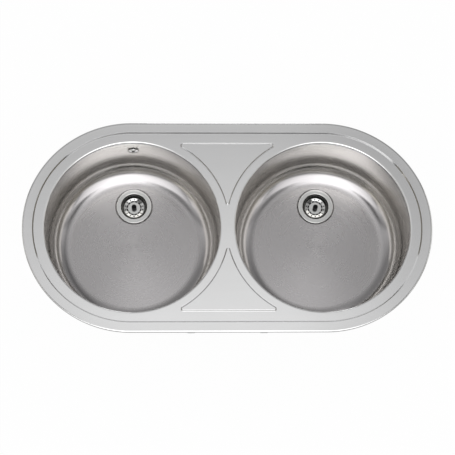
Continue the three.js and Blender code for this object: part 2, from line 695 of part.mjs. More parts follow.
function buildOverflow(x) {
  const overflow = new THREE.Group();
  overflow.position.set(x, 0, 0);
  sink.add(overflow);

  const tightest = wallRadiusAt(OVERFLOW_Z - ROSE_RADIUS);
  const facetSag = ROSE_RADIUS * Math.tan(Math.PI / BOWL_SEGMENTS);
  const roseBack = tightest - facetSag - GAP;
  const roseFront = roseBack - ROSE_THICKNESS;
  const raised = (geometry) => geometry.translate(0, 0, OVERFLOW_Z);
  const screwHole = OVERFLOW_SCREW_RADIUS + GAP;
  const roseHoles = Array.from({ length: ROSE_HOLE_COUNT }, (_, i) =>
    crossCylinder(ROSE_HOLE_RADIUS, roseFront - THROUGH, roseBack + THROUGH, HOLE_SEGMENTS)
      .translate(ROSE_PITCH_RADIUS, 0, 0)
      .rotateY((2 * Math.PI * i) / ROSE_HOLE_COUNT),
  );
  const rose = cut(
    crossCylinder(ROSE_RADIUS, roseFront, roseBack, WASTE_SEGMENTS),
    crossCylinder(screwHole, roseFront - THROUGH, roseBack + THROUGH, HOLE_SEGMENTS),
    ...roseHoles,
  );
  place("overflow_rose", raised(rose), POLISHED_STEEL, overflow);

  const wallOutside = wallRadiusAt(OVERFLOW_Z + HOUSING_RADIUS) + BOWL_SHEET + GAP;
  const housingFace = wallOutside + OVERFLOW_GASKET_THICKNESS;
  const gasket = cut(
    crossCylinder(HOUSING_RADIUS, wallOutside, housingFace, WASTE_SEGMENTS),
    crossCylinder(OVERFLOW_HOLE_RADIUS, wallOutside - THROUGH, housingFace + THROUGH, WASTE_SEGMENTS),
  );
  place("overflow_gasket", raised(gasket), BLACK_RUBBER, overflow);

  const housingBack = housingFace + HOUSING_DEPTH;
  const chamberBack = housingBack - HOUSING_WALL;
  const pipeY = (housingFace + housingBack) / 2;
  const pipe = cylinder(SPIGOT_RADIUS, -HOUSING_SPIGOT_LENGTH, 0, SMALL_SEGMENTS).translate(0, pipeY, 0);
  const pipeBore = cylinder(SPIGOT_BORE, -HOUSING_SPIGOT_LENGTH - THROUGH, 0, SMALL_SEGMENTS);
  const chamber = crossCylinder(
    HOUSING_RADIUS - HOUSING_WALL,
    housingFace - THROUGH,
    chamberBack,
    WASTE_SEGMENTS,
  );
  const outer = join(crossCylinder(HOUSING_RADIUS, housingFace, housingBack, WASTE_SEGMENTS), pipe);
  const hollow = cut(outer, chamber, pipeBore.translate(0, pipeY, 0));
  const bossFront = chamberBack - SCREW_BOSS_LENGTH;
  const boss = crossCylinder(SCREW_BOSS_RADIUS, bossFront, chamberBack + HOUSING_WALL / 2, SMALL_SEGMENTS);
  const bossHole = crossCylinder(screwHole, bossFront - THROUGH, chamberBack, HOLE_SEGMENTS);
  place("overflow_housing", raised(cut(join(hollow, boss), bossHole)), BODY_PLASTIC, overflow);

  const screwEnd = chamberBack - OVERFLOW_SCREW_SHY;
  const shank = crossCylinder(OVERFLOW_SCREW_RADIUS, roseFront, screwEnd, HOLE_SEGMENTS);
  const head = crossCylinder(
    OVERFLOW_SCREW_HEAD_RADIUS,
    roseFront - OVERFLOW_SCREW_HEAD,
    roseFront,
    SMALL_SEGMENTS,
  );
  place("overflow_screw", raised(join(shank, head)), POLISHED_STEEL, overflow);

  buildHose(overflow, pipeY);
}

// The hose runs down behind the bowl, bends under its floor and ends on the waste body's spigot.
function buildHose(overflow, pipeY) {
  const top = OVERFLOW_Z - HOUSING_SPIGOT_LENGTH + HOSE_ON_SPIGOT;
  const spigotEnd = WASTE_OFFSET + BODY_RADIUS + BODY_SPIGOT_LENGTH;
  const end = spigotEnd - HOSE_ON_SPIGOT;
  const bend = arc(pipeY - HOSE_BEND, SPIGOT_Z + HOSE_BEND, HOSE_BEND, 0, -90, BEND_STEPS);
  const route = new THREE.CurvePath();
  const points = [[pipeY, top], ...bend, [end, SPIGOT_Z]].map(([y, z]) => new THREE.Vector3(0, y, z));
  for (let i = 1; i < points.length; i++) {
    route.add(new THREE.LineCurve3(points[i - 1], points[i]));
  }
  const tube = (radius, from, to) => {
    const ends = points.map((point) => point.clone());
    ends[0].z += from;
    ends[ends.length - 1].y -= to;
    return pipeAlong(ends, radius, SMALL_SEGMENTS);
  };
  const hose = cut(tube(HOSE_RADIUS, 0, 0), tube(SPIGOT_RADIUS + GAP, THROUGH, THROUGH));
  place("overflow_hose", hose, BODY_PLASTIC, overflow);

  const nutBore = HOSE_RADIUS + GAP;
  const nutRadius = nutBore + HOSE_NUT_WALL;
  const upperNut = cut(
    cylinder(nutRadius, top - HOSE_NUT_LENGTH, top, SMALL_SEGMENTS),
    cylinder(nutBore, top - HOSE_NUT_LENGTH - THROUGH, top + THROUGH, SMALL_SEGMENTS),
  );
  place("upper_hose_nut", upperNut.translate(0, pipeY, 0), DARK_PLASTIC, overflow);
  const lowerNut = cut(
    crossCylinder(nutRadius, end, end + HOSE_NUT_LENGTH, SMALL_SEGMENTS),
    crossCylinder(nutBore, end - THROUGH, end + HOSE_NUT_LENGTH + THROUGH, SMALL_SEGMENTS),
  );
  place("lower_hose_nut", lowerNut.translate(0, 0, SPIGOT_Z), DARK_PLASTIC, overflow);
}

// A round bar through points that all lie in the plane x = 0.
function pipeAlong(points, radius, segments) {
  const positions = [];
  points.forEach((point, i) => {
    const before = points[Math.max(i - 1, 0)];
    const after = points[Math.min(i + 1, points.length - 1)];
    const along = after.clone().sub(before).normalize();
    const side = new THREE.Vector3(0, -along.z, along.y);
    for (let j = 0; j < segments; j++) {
      const angle = (2 * Math.PI * j) / segments;
      const across = radius * Math.sin(angle);
      positions.push(radius * Math.cos(angle), point.y + side.y * across, point.z + side.z * across);
    }
  });
  const index = [];
  const last = (points.length - 1) * segments;
  for (let i = 0; i < points.length - 1; i++) {
    for (let j = 0; j < segments; j++) {
      const k = (j + 1) % segments;
      const here = i * segments;
      const there = here + segments;
      index.push(here + j, there + k, here + k, here + j, there + j, there + k);
    }
  }
  for (let j = 1; j < segments - 1; j++) {
    index.push(0, j, j + 1, last, last + j + 1, last + j);
  }
  const geometry = new THREE.BufferGeometry();
  geometry.setAttribute("position", new THREE.Float32BufferAttribute(positions, 3));
  geometry.setIndex(index);
  return geometry;
}

// ---------------------------------------------------------------- rim seal

function buildRimSeal() {
  const outer = END_RADIUS - SEAL_INSET;
  const inner = outer - SEAL_WIDTH;
  const strip = swept([
    [inner, 0],
    [outer, 0],
    [outer, SEAL_HEIGHT],
    [inner, SEAL_HEIGHT],
  ]);
  place("rim_seal", strip, FOAM);
}

// ---------------------------------------------------------------- clamps

// In a clamp's own frame +X points outwards from the sink and the pin lies along Y.
function buildClamp(name, centreX, along, turn) {
  const clamp = new THREE.Group();
  clamp.position.set(centreX, 0, 0);
  clamp.rotation.z = THREE.MathUtils.degToRad(turn);
  sink.add(clamp);

  const pinX = END_RADIUS - CLAMP_PIN_RADIUS_FROM_EDGE;
  const half = CLAMP_WIDTH / 2;
  const webBack = pinX - CLAMP_WEB_SETBACK;
  const earLow = -CLAMP_PIN_DROP - EAR_HEIGHT / 2;
  const earHigh = -CLAMP_PIN_DROP + EAR_HEIGHT / 2;
  const turnedPin = crossCylinder(PIN_RADIUS, -half, half, HOLE_SEGMENTS);
  const webFront = webBack - CLAMP_SHEET;
  const ear = (y) => block(webFront, pinX + EAR_REACH, y, y + CLAMP_SHEET, earLow, earHigh);
  const hanger = join(
    block(webBack - CLAMP_FOOT_LENGTH, webBack, -half, half, DECK_UNDER - CLAMP_SHEET, DECK_UNDER),
    block(webFront, webBack, -half, half, earLow, DECK_UNDER),
    ear(-half),
    ear(half - CLAMP_SHEET),
    turnedPin.translate(pinX, 0, -CLAMP_PIN_DROP),
  );
  place(`${name}_hanger`, hanger.translate(0, along, 0), ZINC_STEEL, clamp);

  const armHalf = half - CLAMP_SHEET - GAP;
  const plateBack = pinX - ARM_THICKNESS / 2;
  const plateFront = pinX + ARM_THICKNESS / 2;
  const eye = crossCylinder(ARM_EYE_RADIUS, -armHalf, armHalf, SMALL_SEGMENTS);
  const pinHole = crossCylinder(PIN_RADIUS + GAP, -half, half, HOLE_SEGMENTS);
  const armFoot = -CLAMP_PIN_DROP - ARM_LENGTH;
  const screwZ = -CLAMP_PIN_DROP - ARM_SCREW_DROP;
  const alongX = (geometry) => geometry.rotateZ(-Math.PI / 2);
  const screwHole = alongX(
    crossCylinder(CLAMP_SCREW_RADIUS + GAP, plateBack - THROUGH, plateFront + THROUGH, HOLE_SEGMENTS),
  );
  const arm = cut(
    join(
      eye.translate(pinX, 0, -CLAMP_PIN_DROP),
      block(plateBack, plateFront, -armHalf, armHalf, armFoot, -CLAMP_PIN_DROP),
    ),
    pinHole.translate(pinX, 0, -CLAMP_PIN_DROP),
    screwHole.translate(0, 0, screwZ),
  );
  place(`${name}_arm`, arm.translate(0, along, 0), ZINC_STEEL, clamp);

  const tip = pinX + CLAMP_SCREW_TIP;
  const headFront = tip - CLAMP_SCREW_LENGTH;
  const screw = alongX(
    join(
      crossCylinder(CLAMP_SCREW_RADIUS, headFront, tip, HOLE_SEGMENTS),
      crossCylinder(CLAMP_SCREW_HEAD_RADIUS, headFront - CLAMP_SCREW_HEAD, headFront, SMALL_SEGMENTS),
    ),
  );
  place(`${name}_screw`, screw.translate(0, along, screwZ), ZINC_STEEL, clamp);
}

// ---------------------------------------------------------------- the whole sink

buildDeck();
buildRimSeal();
for (const [side, x, hasOverflow] of [
  ["left", -BOWL_X, true],
  ["right", BOWL_X, false],
]) {
  buildBowl(side, x, hasOverflow);
  buildSoundPad(side, x);
  buildWaste(side, x, hasOverflow);
}
buildOverflow(-BOWL_X);
for (const [name, centreX, along, turn] of [
  ["rear_left_clamp", 0, CLAMP_ALONG, 90],
  ["rear_right_clamp", 0, -CLAMP_ALONG, 90],
  ["front_left_clamp", 0, -CLAMP_ALONG, -90],
  ["front_right_clamp", 0, CLAMP_ALONG, -90],
  ["right_end_rear_clamp", END_CENTRE, 0, CLAMP_TURN],
  ["right_end_front_clamp", END_CENTRE, 0, -CLAMP_TURN],
  ["left_end_rear_clamp", -END_CENTRE, 0, 180 - CLAMP_TURN],
  ["left_end_front_clamp", -END_CENTRE, 0, 180 + CLAMP_TURN],
]) {
  buildClamp(name, centreX, along, turn);
}

export default sink;
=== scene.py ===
import math

import bmesh
import bpy
from mathutils import Matrix, Vector


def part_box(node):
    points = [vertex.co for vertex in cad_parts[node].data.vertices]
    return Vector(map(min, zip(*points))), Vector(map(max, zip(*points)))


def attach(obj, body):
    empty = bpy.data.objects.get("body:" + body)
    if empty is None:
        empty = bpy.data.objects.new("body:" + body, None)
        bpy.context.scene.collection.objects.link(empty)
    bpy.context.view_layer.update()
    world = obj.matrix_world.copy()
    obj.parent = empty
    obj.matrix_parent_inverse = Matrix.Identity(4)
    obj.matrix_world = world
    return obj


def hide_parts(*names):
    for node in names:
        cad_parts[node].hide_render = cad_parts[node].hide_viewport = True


# The looks of an inset double bowl kitchen sink: satin steel deck and bowls, basket strainer
# wastes, overflow and worktop clamps. Sizes are in millimetres until they reach Blender.

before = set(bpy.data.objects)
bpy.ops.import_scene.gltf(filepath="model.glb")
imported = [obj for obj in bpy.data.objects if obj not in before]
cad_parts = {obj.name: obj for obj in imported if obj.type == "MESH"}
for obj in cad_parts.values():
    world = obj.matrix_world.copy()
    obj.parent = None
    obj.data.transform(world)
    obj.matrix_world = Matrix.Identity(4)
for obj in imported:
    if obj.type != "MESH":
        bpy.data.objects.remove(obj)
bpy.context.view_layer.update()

MM = 0.001


def low(node):
    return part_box(node)[0] / MM


def high(node):
    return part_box(node)[1] / MM


def middle(node):
    return (low(node) + high(node)) / 2


# ---- sizes from the frame

END_RADIUS = high("sink_deck").y
END_CENTRE = high("sink_deck").x - END_RADIUS
RIM_TOP = high("sink_deck").z
EDGE_FOOT = 0.3
WELD_Z = low("sink_deck").z
BOWL_X = middle("right_bowl").x
WALL_RADIUS = high("right_bowl").x - BOWL_X - 0.8
WASTE_Y = middle("right_strainer_flange").y
FLANGE_FOOT = low("right_flange_gasket").z  # the floor of the recess
OUTLET_FOOT = low("right_waste_body").z
ROSE = middle("overflow_rose")
ROSE_BACK = high("overflow_rose").y

# ---- sizes of the pressed steel

SHEET = 0.9
BOWL_SHEET = 0.8
DECK_TOP = 2.5
BOWL_DEPTH = 160
RIM_DISH = 0.2  # the rim band's inner edge lies this much lower
MOUTH_ROLL = 3
MOUTH_RADIUS = WALL_RADIUS + MOUTH_ROLL
WALL_DRAFT = 2
FLOOR_FILLET = 45
FLOOR_Z = DECK_TOP - BOWL_DEPTH
FILLET_Z = FLOOR_Z + FLOOR_FILLET
FOOT_RADIUS = WALL_RADIUS - WALL_DRAFT
RECESS_RADIUS = 38.7
RECESS_MOUTH = 40.4
WASTE_HOLE = 31
OVERFLOW_HOLE = 11
PAD_BITE = 52  # keeps the damping pad clear of the waste
EDGE_ROUND = 2.6
STEP_FOOT = END_RADIUS - 23.3
STEP_TOP = STEP_FOOT + 2.75
STEP_ROUND = 0.15
STEP_SLOPE = math.degrees(math.atan2(RIM_TOP - DECK_TOP - RIM_DISH, STEP_TOP - STEP_FOOT))
FLAT_MARGIN = 1.6  # a flat ring of the deck beside each bend

PANEL_ARC = 197.5
PANEL_HALF_LENGTH = 96
PANEL_FAR_EDGE = 178.5
PANEL_TIP_ROUND = 3.75
PANEL_FOOT = 0.8  # the foot of the slope outside the panel's outline
PANEL_CORNER = 5.2
PANEL_SIDE_CORNER = 2.7
PANEL_MARGIN = 0.9  # the flat and the groove round the foot
GROOVE_WIDTH = 0.6
GROOVE_DEPTH = 0.15
SLOPE = [(0.2, 0.04), (0.5, 0.17), (0.1, 0.08), (1.2, 1.35), (0.1, 0.07), (0.5, 0.17), (0.2, 0.03)]
PANEL_BENDS = [(PANEL_MARGIN - GROOVE_WIDTH, 0), (GROOVE_WIDTH, -GROOVE_DEPTH), *SLOPE, (0.3, 0)]

ROUND = 128  # facets round a large ring
SMALL_ROUND = 64
PIN_ROUND = 32
MERGE = 0.002  # points closer than this are one
SIDES = (("left", -BOWL_X), ("right", BOWL_X))

# ---- modelling helpers


def in_object_mode():
    if bpy.context.mode != "OBJECT":
        bpy.ops.object.mode_set(mode="OBJECT")
    bpy.ops.object.select_all(action="DESELECT")


def take(piece):
    """Makes a piece the only one selected, and active."""
    in_object_mode()
    piece.select_set(True)
    bpy.context.view_layer.objects.active = piece


def edit(piece):
    """Opens a piece in edit mode with all of it selected."""
    take(piece)
    bpy.ops.object.mode_set(mode="EDIT")
    bpy.ops.mesh.select_mode(type="VERT")
    bpy.ops.mesh.select_all(action="SELECT")


def pick(piece, test):
    """Selects the vertices whose place in millimetres passes the test, and what lies between them."""
    bpy.ops.mesh.select_mode(type="VERT")
    bpy.ops.mesh.select_all(action="DESELECT")
    shape = bmesh.from_edit_mesh(piece.data)
    for vertex in shape.verts:
        if test(vertex.co / MM):
            vertex.select_set(True)
    shape.select_flush(True)
    bmesh.update_edit_mesh(piece.data)


def pick_edges(piece, test):
    """Selects the edges that pass the test."""
    bpy.ops.mesh.select_mode(type="EDGE")
    bpy.ops.mesh.select_all(action="DESELECT")
    shape = bmesh.from_edit_mesh(piece.data)
    for edge in shape.edges:
        edge.select_set(test(edge))
    bmesh.update_edit_mesh(piece.data)


def runs_along(edge, axis):
    return abs((edge.verts[0].co - edge.verts[1].co).normalized()[axis]) > 0.9


def settle():
    """Puts the selected piece's place into its mesh."""
    bpy.ops.object.transform_apply(location=True, rotation=True, scale=True)


def named(name):
    """Names the new primitive and puts its place into its mesh."""
    piece = bpy.context.object
    piece.name = name
    piece.data.name = name
    settle()
    return piece


def arc(x, z, radius, start, end, steps):
    """Points of an arc, angles in degrees."""
    turns = [math.radians(start + (end - start) * i / steps) for i in range(steps + 1)]
    return [(x + radius * math.cos(a), z + radius * math.sin(a)) for a in turns]


def choose(piece, ring, test, flush):
    """Selects the vertices of a ring whose place passes the test."""
    shape = bmesh.from_edit_mesh(piece.data)
    shape.verts.ensure_lookup_table()
    for i in ring:
        shape.verts[i].select_set(test(shape.verts[i].co))
    shape.select_flush(flush)
    bmesh.update_edit_mesh(piece.data)


def resize_ring(piece, factor, centre, reach, height):
    """Scales the selected ring about its centre, or its two round ends about theirs."""

    def resize(x):
        place = Vector((x, centre[1], height)) * MM
        bpy.ops.transform.resize(value=(factor, factor, 1), center_override=place)

    if not reach:
        resize(centre[0])
        return
    ring = [vertex.index for vertex in bmesh.from_edit_mesh(piece.data).verts if vertex.select]
    for side in (-1, 1):
        choose(piece, ring, lambda at, side=side: at.x * side > 0, False)
        resize(centre[0] + side * reach)
    choose(piece, ring, lambda at: True, True)


def ringed(name, profile, centre=(0, 0), reach=0, facets=ROUND):
    """A skin grown ring by ring through [radius, height] points, left open in edit mode.
    With a reach, each ring is a stadium whose round ends lie that far from its centre."""
    in_object_mode()
    x, y = centre
    radius, height = profile[0]
    place = Vector((x, y, height)) * MM
    bpy.ops.mesh.primitive_circle_add(vertices=facets, radius=radius * MM, location=place)
    piece = named(name)
    if reach:
        edit(piece)
        bpy.ops.transform.rotate(value=math.pi / facets, orient_axis="Z", center_override=place)
        for side in (-1, 1):
            pick(piece, lambda at, side=side: (at.x - x) * side > 0)
            bpy.ops.transform.translate(value=(side * reach * MM, 0, 0))
    edit(piece)
    for next_radius, next_height in profile[1:]:
        rise = (next_height - height) * MM
        bpy.ops.mesh.extrude_region_move(TRANSFORM_OT_translate={"value": (0, 0, rise)})
        if next_radius == 0:
            bpy.ops.mesh.merge(type="CENTER")
        elif next_radius != radius:
            resize_ring(piece, next_radius / radius, centre, reach, next_height)
        radius, height = next_radius, next_height
    return piece


def smoothed(piece, degrees=35):
    """Shades smooth what bends by less than an angle."""
    take(piece)
    bpy.ops.object.shade_smooth_by_angle(angle=math.radians(degrees))
    return piece


def face_outwards():
    bpy.ops.mesh.select_all(action="SELECT")
    bpy.ops.mesh.normals_make_consistent(inside=False)


def tidy(piece, smooth=35):
    """Merges doubles, turns the faces outwards and shades the round parts smooth."""
    edit(piece)
    bpy.ops.mesh.remove_doubles(threshold=MERGE * MM)
    face_outwards()
    return smoothed(piece, smooth)


def turned(name, profile, centre=(0, 0), facets=SMALL_ROUND, reach=0, smooth=35):
    """A closed turned solid. The profile starts off the axis and ends on it, or closes on itself."""
    closed = profile[0] == profile[-1]
    piece = ringed(name, profile, centre, reach, facets)
    if not closed:
        bpy.ops.mesh.select_all(action="SELECT")
        bpy.ops.mesh.remove_doubles(threshold=MERGE * MM)
        bpy.ops.mesh.fill_holes(sides=0)
    return tidy(piece, smooth)


def block(name, x, y, z, bevel=0.0, steps=2):
    """A box between two values along each direction, its edges rounded by the bevel."""
    in_object_mode()
    size = Vector((x[1] - x[0], y[1] - y[0], z[1] - z[0])) * MM
    place = Vector((x[0] + x[1], y[0] + y[1], z[0] + z[1])) / 2 * MM
    bpy.ops.mesh.primitive_cube_add(size=1, location=place, scale=size)
    piece = named(name)
    if bevel:
        edit(piece)
        bpy.ops.mesh.bevel(offset=bevel * MM, segments=steps, affect="EDGES")
        take(piece)
    return piece


def rod(name, radius, start, end, facets=PIN_ROUND, bevel=0.0):
    """A round bar from one place to another."""
    in_object_mode()
    start, end = Vector(start), Vector(end)
    along = end - start
    bpy.ops.mesh.primitive_cylinder_add(
        vertices=facets,
        radius=radius * MM,
        depth=along.length * MM,
        location=(start + end) / 2 * MM,
        rotation=along.to_track_quat("Z", "Y").to_euler(),
    )
    piece = named(name)
    if bevel:
        edit(piece)
        bpy.ops.mesh.select_all(action="DESELECT")
        bpy.ops.mesh.select_mode(type="FACE")
        shape = bmesh.from_edit_mesh(piece.data)
        for face in shape.faces:
            face.select_set(len(face.verts) > 4)
        bmesh.update_edit_mesh(piece.data)
        bpy.ops.mesh.bevel(offset=bevel * MM, segments=2, affect="EDGES")
        take(piece)
    return piece


def apply_modifier(piece, kind, **settings):
    take(piece)
    modifier = piece.modifiers.new(kind.lower(), kind)
    for key, value in settings.items():
        setattr(modifier, key, value)
    bpy.ops.object.modifier_apply(modifier=modifier.name)
    return piece


def joined(name, *pieces):
    """Several meshes as one object, not welded."""
    take(pieces[0])
    for piece in pieces:
        piece.select_set(True)
    bpy.ops.object.join()
    pieces[0].name = name
    pieces[0].data.name = name
    return pieces[0]


def combined(piece, others, operation):
    """Welds other solids to a piece, or cuts them out of it, one after another."""
    for other in others:
        apply_modifier(piece, "BOOLEAN", operation=operation, solver="EXACT", object=other)
        bpy.data.objects.remove(other)
    return piece


def cut(piece, *cutters):
    return combined(piece, cutters, "DIFFERENCE")


def welded(piece, *others):
    return combined(piece, others, "UNION")


def six_holes(piece, centre, ring, radius, foot, top, facets=PIN_ROUND):
    """Drills six upright holes on a ring."""
    holes = []
    for i in range(6):
        angle = math.radians(60 * i)
        x, y = centre[0] + ring * math.cos(angle), centre[1] + ring * math.sin(angle)
        holes.append(rod("hole", radius, (x, y, foot), (x, y, top), facets))
    return cut(piece, joined("holes", *holes))


def filled_sheet(piece, level, thickness):
    """Fills the flat between the open edges at a level, and thickens the whole skin downwards."""

    def open_and_level(edge):
        return edge.is_boundary and all(abs(vertex.co.z / MM - level) < 0.01 for vertex in edge.verts)

    edit(piece)
    pick_edges(piece, open_and_level)
    bpy.ops.mesh.fill(use_beauty=True)
    face_outwards()
    shape = bmesh.from_edit_mesh(piece.data)
    flat = min(shape.faces, key=lambda face: abs(face.calc_center_median().z / MM - level))
    if flat.normal.z < 0:
        bpy.ops.mesh.flip_normals()
    apply_modifier(piece, "SOLIDIFY", thickness=thickness * MM, offset=-1.0, use_even_offset=True)


def copied(piece, name, matrix):
    """A copy with its own mesh, put in place by the matrix."""
    take(piece)
    bpy.ops.object.duplicate()
    copy = bpy.context.object
    copy.name = name
    copy.data.name = name
    copy.matrix_world = matrix @ copy.matrix_world
    settle()
    return copy


def placed(piece, matrix):
    """Turns and moves a piece and leaves its place in its mesh."""
    take(piece)
    piece.matrix_world = matrix
    settle()
    return piece


def at(x, y, z):
    return Matrix.Translation(Vector((x, y, z)) * MM)


def about(axis, degrees):
    return Matrix.Rotation(math.radians(degrees), 4, axis)


# ---- shader helpers


class Shader:
    """A material's or a group's node tree, with short ways to add and link its nodes."""

    def __init__(self, tree):
        self.tree = tree

    def add(self, kind, **inputs):
        node = self.tree.nodes.new("ShaderNode" + kind)
        for key, value in inputs.items():
            self.feed(node, key.replace("_", " "), value)
        return node

    def feed(self, node, key, value):
        socket = node.inputs[int(key)] if key.isdigit() else node.inputs[key]
        if isinstance(value, bpy.types.NodeSocket):
            self.tree.links.new(value, socket)
        else:
            socket.default_value = value

    def math(self, operation, first, second=0.0, third=0.0):
        node = self.tree.nodes.new("ShaderNodeMath")
        node.operation = operation
        for i, value in enumerate((first, second, third)):
            self.feed(node, str(i), value)
        return node.outputs[0]

    def times(self, first, second):
        return self.math("MULTIPLY", first, second)

    def parts(self, place):
        return self.add("SeparateXYZ", Vector=place).outputs

    def vector(self, operation, first, second=(0, 0, 0), output=0):
        node = self.tree.nodes.new("ShaderNodeVectorMath")
        node.operation = operation
        self.feed(node, "0", first)
        self.feed(node, "1", second)
        return node.outputs[output]

    def spread(self, value, low_in, high_in, low_out, high_out):
        node = self.add("MapRange")
        for i, part in enumerate((value, low_in, high_in, low_out, high_out)):
            self.feed(node, str(i), part)
        return node.outputs[0]

    def mix(self, factor, first, second):
        node = self.tree.nodes.new("ShaderNodeMix")
        node.data_type = "RGBA"
        self.feed(node, "0", factor)
        self.feed(node, "6", first)
        self.feed(node, "7", second)
        return node.outputs[2]

    def noise(self, place, scale, detail=3.0, roughness=0.5):
        return self.add("TexNoise", Vector=place, Scale=scale, Detail=detail, Roughness=roughness).outputs[0]


def group(name, inputs, outputs):
    """An empty node group with named inputs and outputs."""
    tree = bpy.data.node_groups.new(name, "ShaderNodeTree")
    for label, kind, value in inputs:
        socket = tree.interface.new_socket(label, in_out="INPUT", socket_type="NodeSocket" + kind)
        socket.default_value = value
    for label, kind in outputs:
        tree.interface.new_socket(label, in_out="OUTPUT", socket_type="NodeSocket" + kind)
    start = tree.nodes.new("NodeGroupInput")
    end = tree.nodes.new("NodeGroupOutput")
    return Shader(tree), start.outputs, end


def use(shader, tree, **inputs):
    node = shader.tree.nodes.new("ShaderNodeGroup")
    node.node_tree = tree
    for key, value in inputs.items():
        shader.feed(node, key.replace("_", " "), value)
    return node.outputs


PLACE = ("Place", "Vector", (0, 0, 0))


def grain_group(name, spun):
    """Fine lines along X, or round an upright axis as spinning and polishing leave them:
    their height, and a mask that varies slowly."""
    inputs = [PLACE, ("Centre", "Vector", (0, 0, 0)), ("Lines per metre", "Float", 900.0)]
    shader, given, end = group(name, inputs, [("Height", "Float"), ("Mask", "Float")])
    if spun:
        place = shader.vector("SUBTRACT", given["Place"], given["Centre"])
        x, y, deep = shader.parts(place)
        along = shader.times(shader.math("ARCTAN2", y, x), 3.0)
        across = shader.vector("LENGTH", shader.vector("MULTIPLY", place, (1, 1, 0)), output=1)
        slow, detail = (0.4, 0.2, 0.2), 3.0
    else:
        along, across, deep = shader.parts(given["Place"])
        line_length = 0.05
        along = shader.math("DIVIDE", along, line_length)
        slow, detail = (0.6, 0.12, 0.12), 2.0
    across = shader.times(across, given["Lines per metre"])
    deep = shader.times(deep, given["Lines per metre"])
    grain = shader.add("CombineXYZ", X=along, Y=across, Z=deep).outputs[0]
    shader.feed(end, "Height", shader.noise(grain, 1.0, 2.0, 0.6))
    shader.feed(end, "Mask", shader.noise(shader.vector("MULTIPLY", grain, slow), 1.0, detail))
    return shader.tree


def handling():
    """Soft smears and faint dust that change a surface's gloss from place to place."""
    shader, given, end = group(
        "handling",
        [PLACE, ("Smears per metre", "Float", 9.0)],
        [("Smear", "Float"), ("Dust", "Float")],
    )
    scale = given["Smears per metre"]
    smear = shader.noise(given["Place"], scale, 4.0, 0.55)
    shader.feed(end, "Smear", shader.spread(smear, 0.35, 0.7, 0.0, 1.0))
    dust = shader.noise(given["Place"], shader.times(scale, 60.0), 2.0, 0.6)
    shader.feed(end, "Dust", shader.spread(dust, 0.55, 0.75, 0.0, 1.0))
    return shader.tree


def pitted():
    """A moulded or foamed skin: small cells and a slow wave."""
    shader, given, end = group(
        "pitted",
        [PLACE, ("Cells per metre", "Float", 900.0)],
        [("Height", "Float"), ("Shade", "Float")],
    )
    cells = shader.add("TexVoronoi", Vector=given["Place"], Scale=given["Cells per metre"]).outputs[0]
    wave = shader.noise(given["Place"], shader.times(given["Cells per metre"], 0.05), 2.0)
    shader.feed(end, "Height", shader.math("ADD", cells, wave))
    shader.feed(end, "Shade", shader.spread(wave, 0.3, 0.7, 0.0, 1.0))
    return shader.tree


STRAIGHT_GRAIN = grain_group("straight_grain", False)
SPUN_GRAIN = grain_group("spun_grain", True)
HANDLING = handling()
PITTED = pitted()


def material(name, **settings):
    """A material with one Principled shader, its constant values set on its own sockets."""
    look = bpy.data.materials.new(name)
    look.use_nodes = True
    shader = Shader(look.node_tree)
    principled = look.node_tree.nodes["Principled BSDF"]
    for key, value in settings.items():
        shader.feed(principled, key.replace("_", " "), value)
    place = shader.add("TexCoord").outputs["Object"]
    return look, shader, principled, place


def bump(shader, principled, height, distance, strength):
    node = shader.add("Bump", Height=height, Distance=distance * MM, Strength=strength)
    shader.feed(principled, "Normal", node.outputs[0])


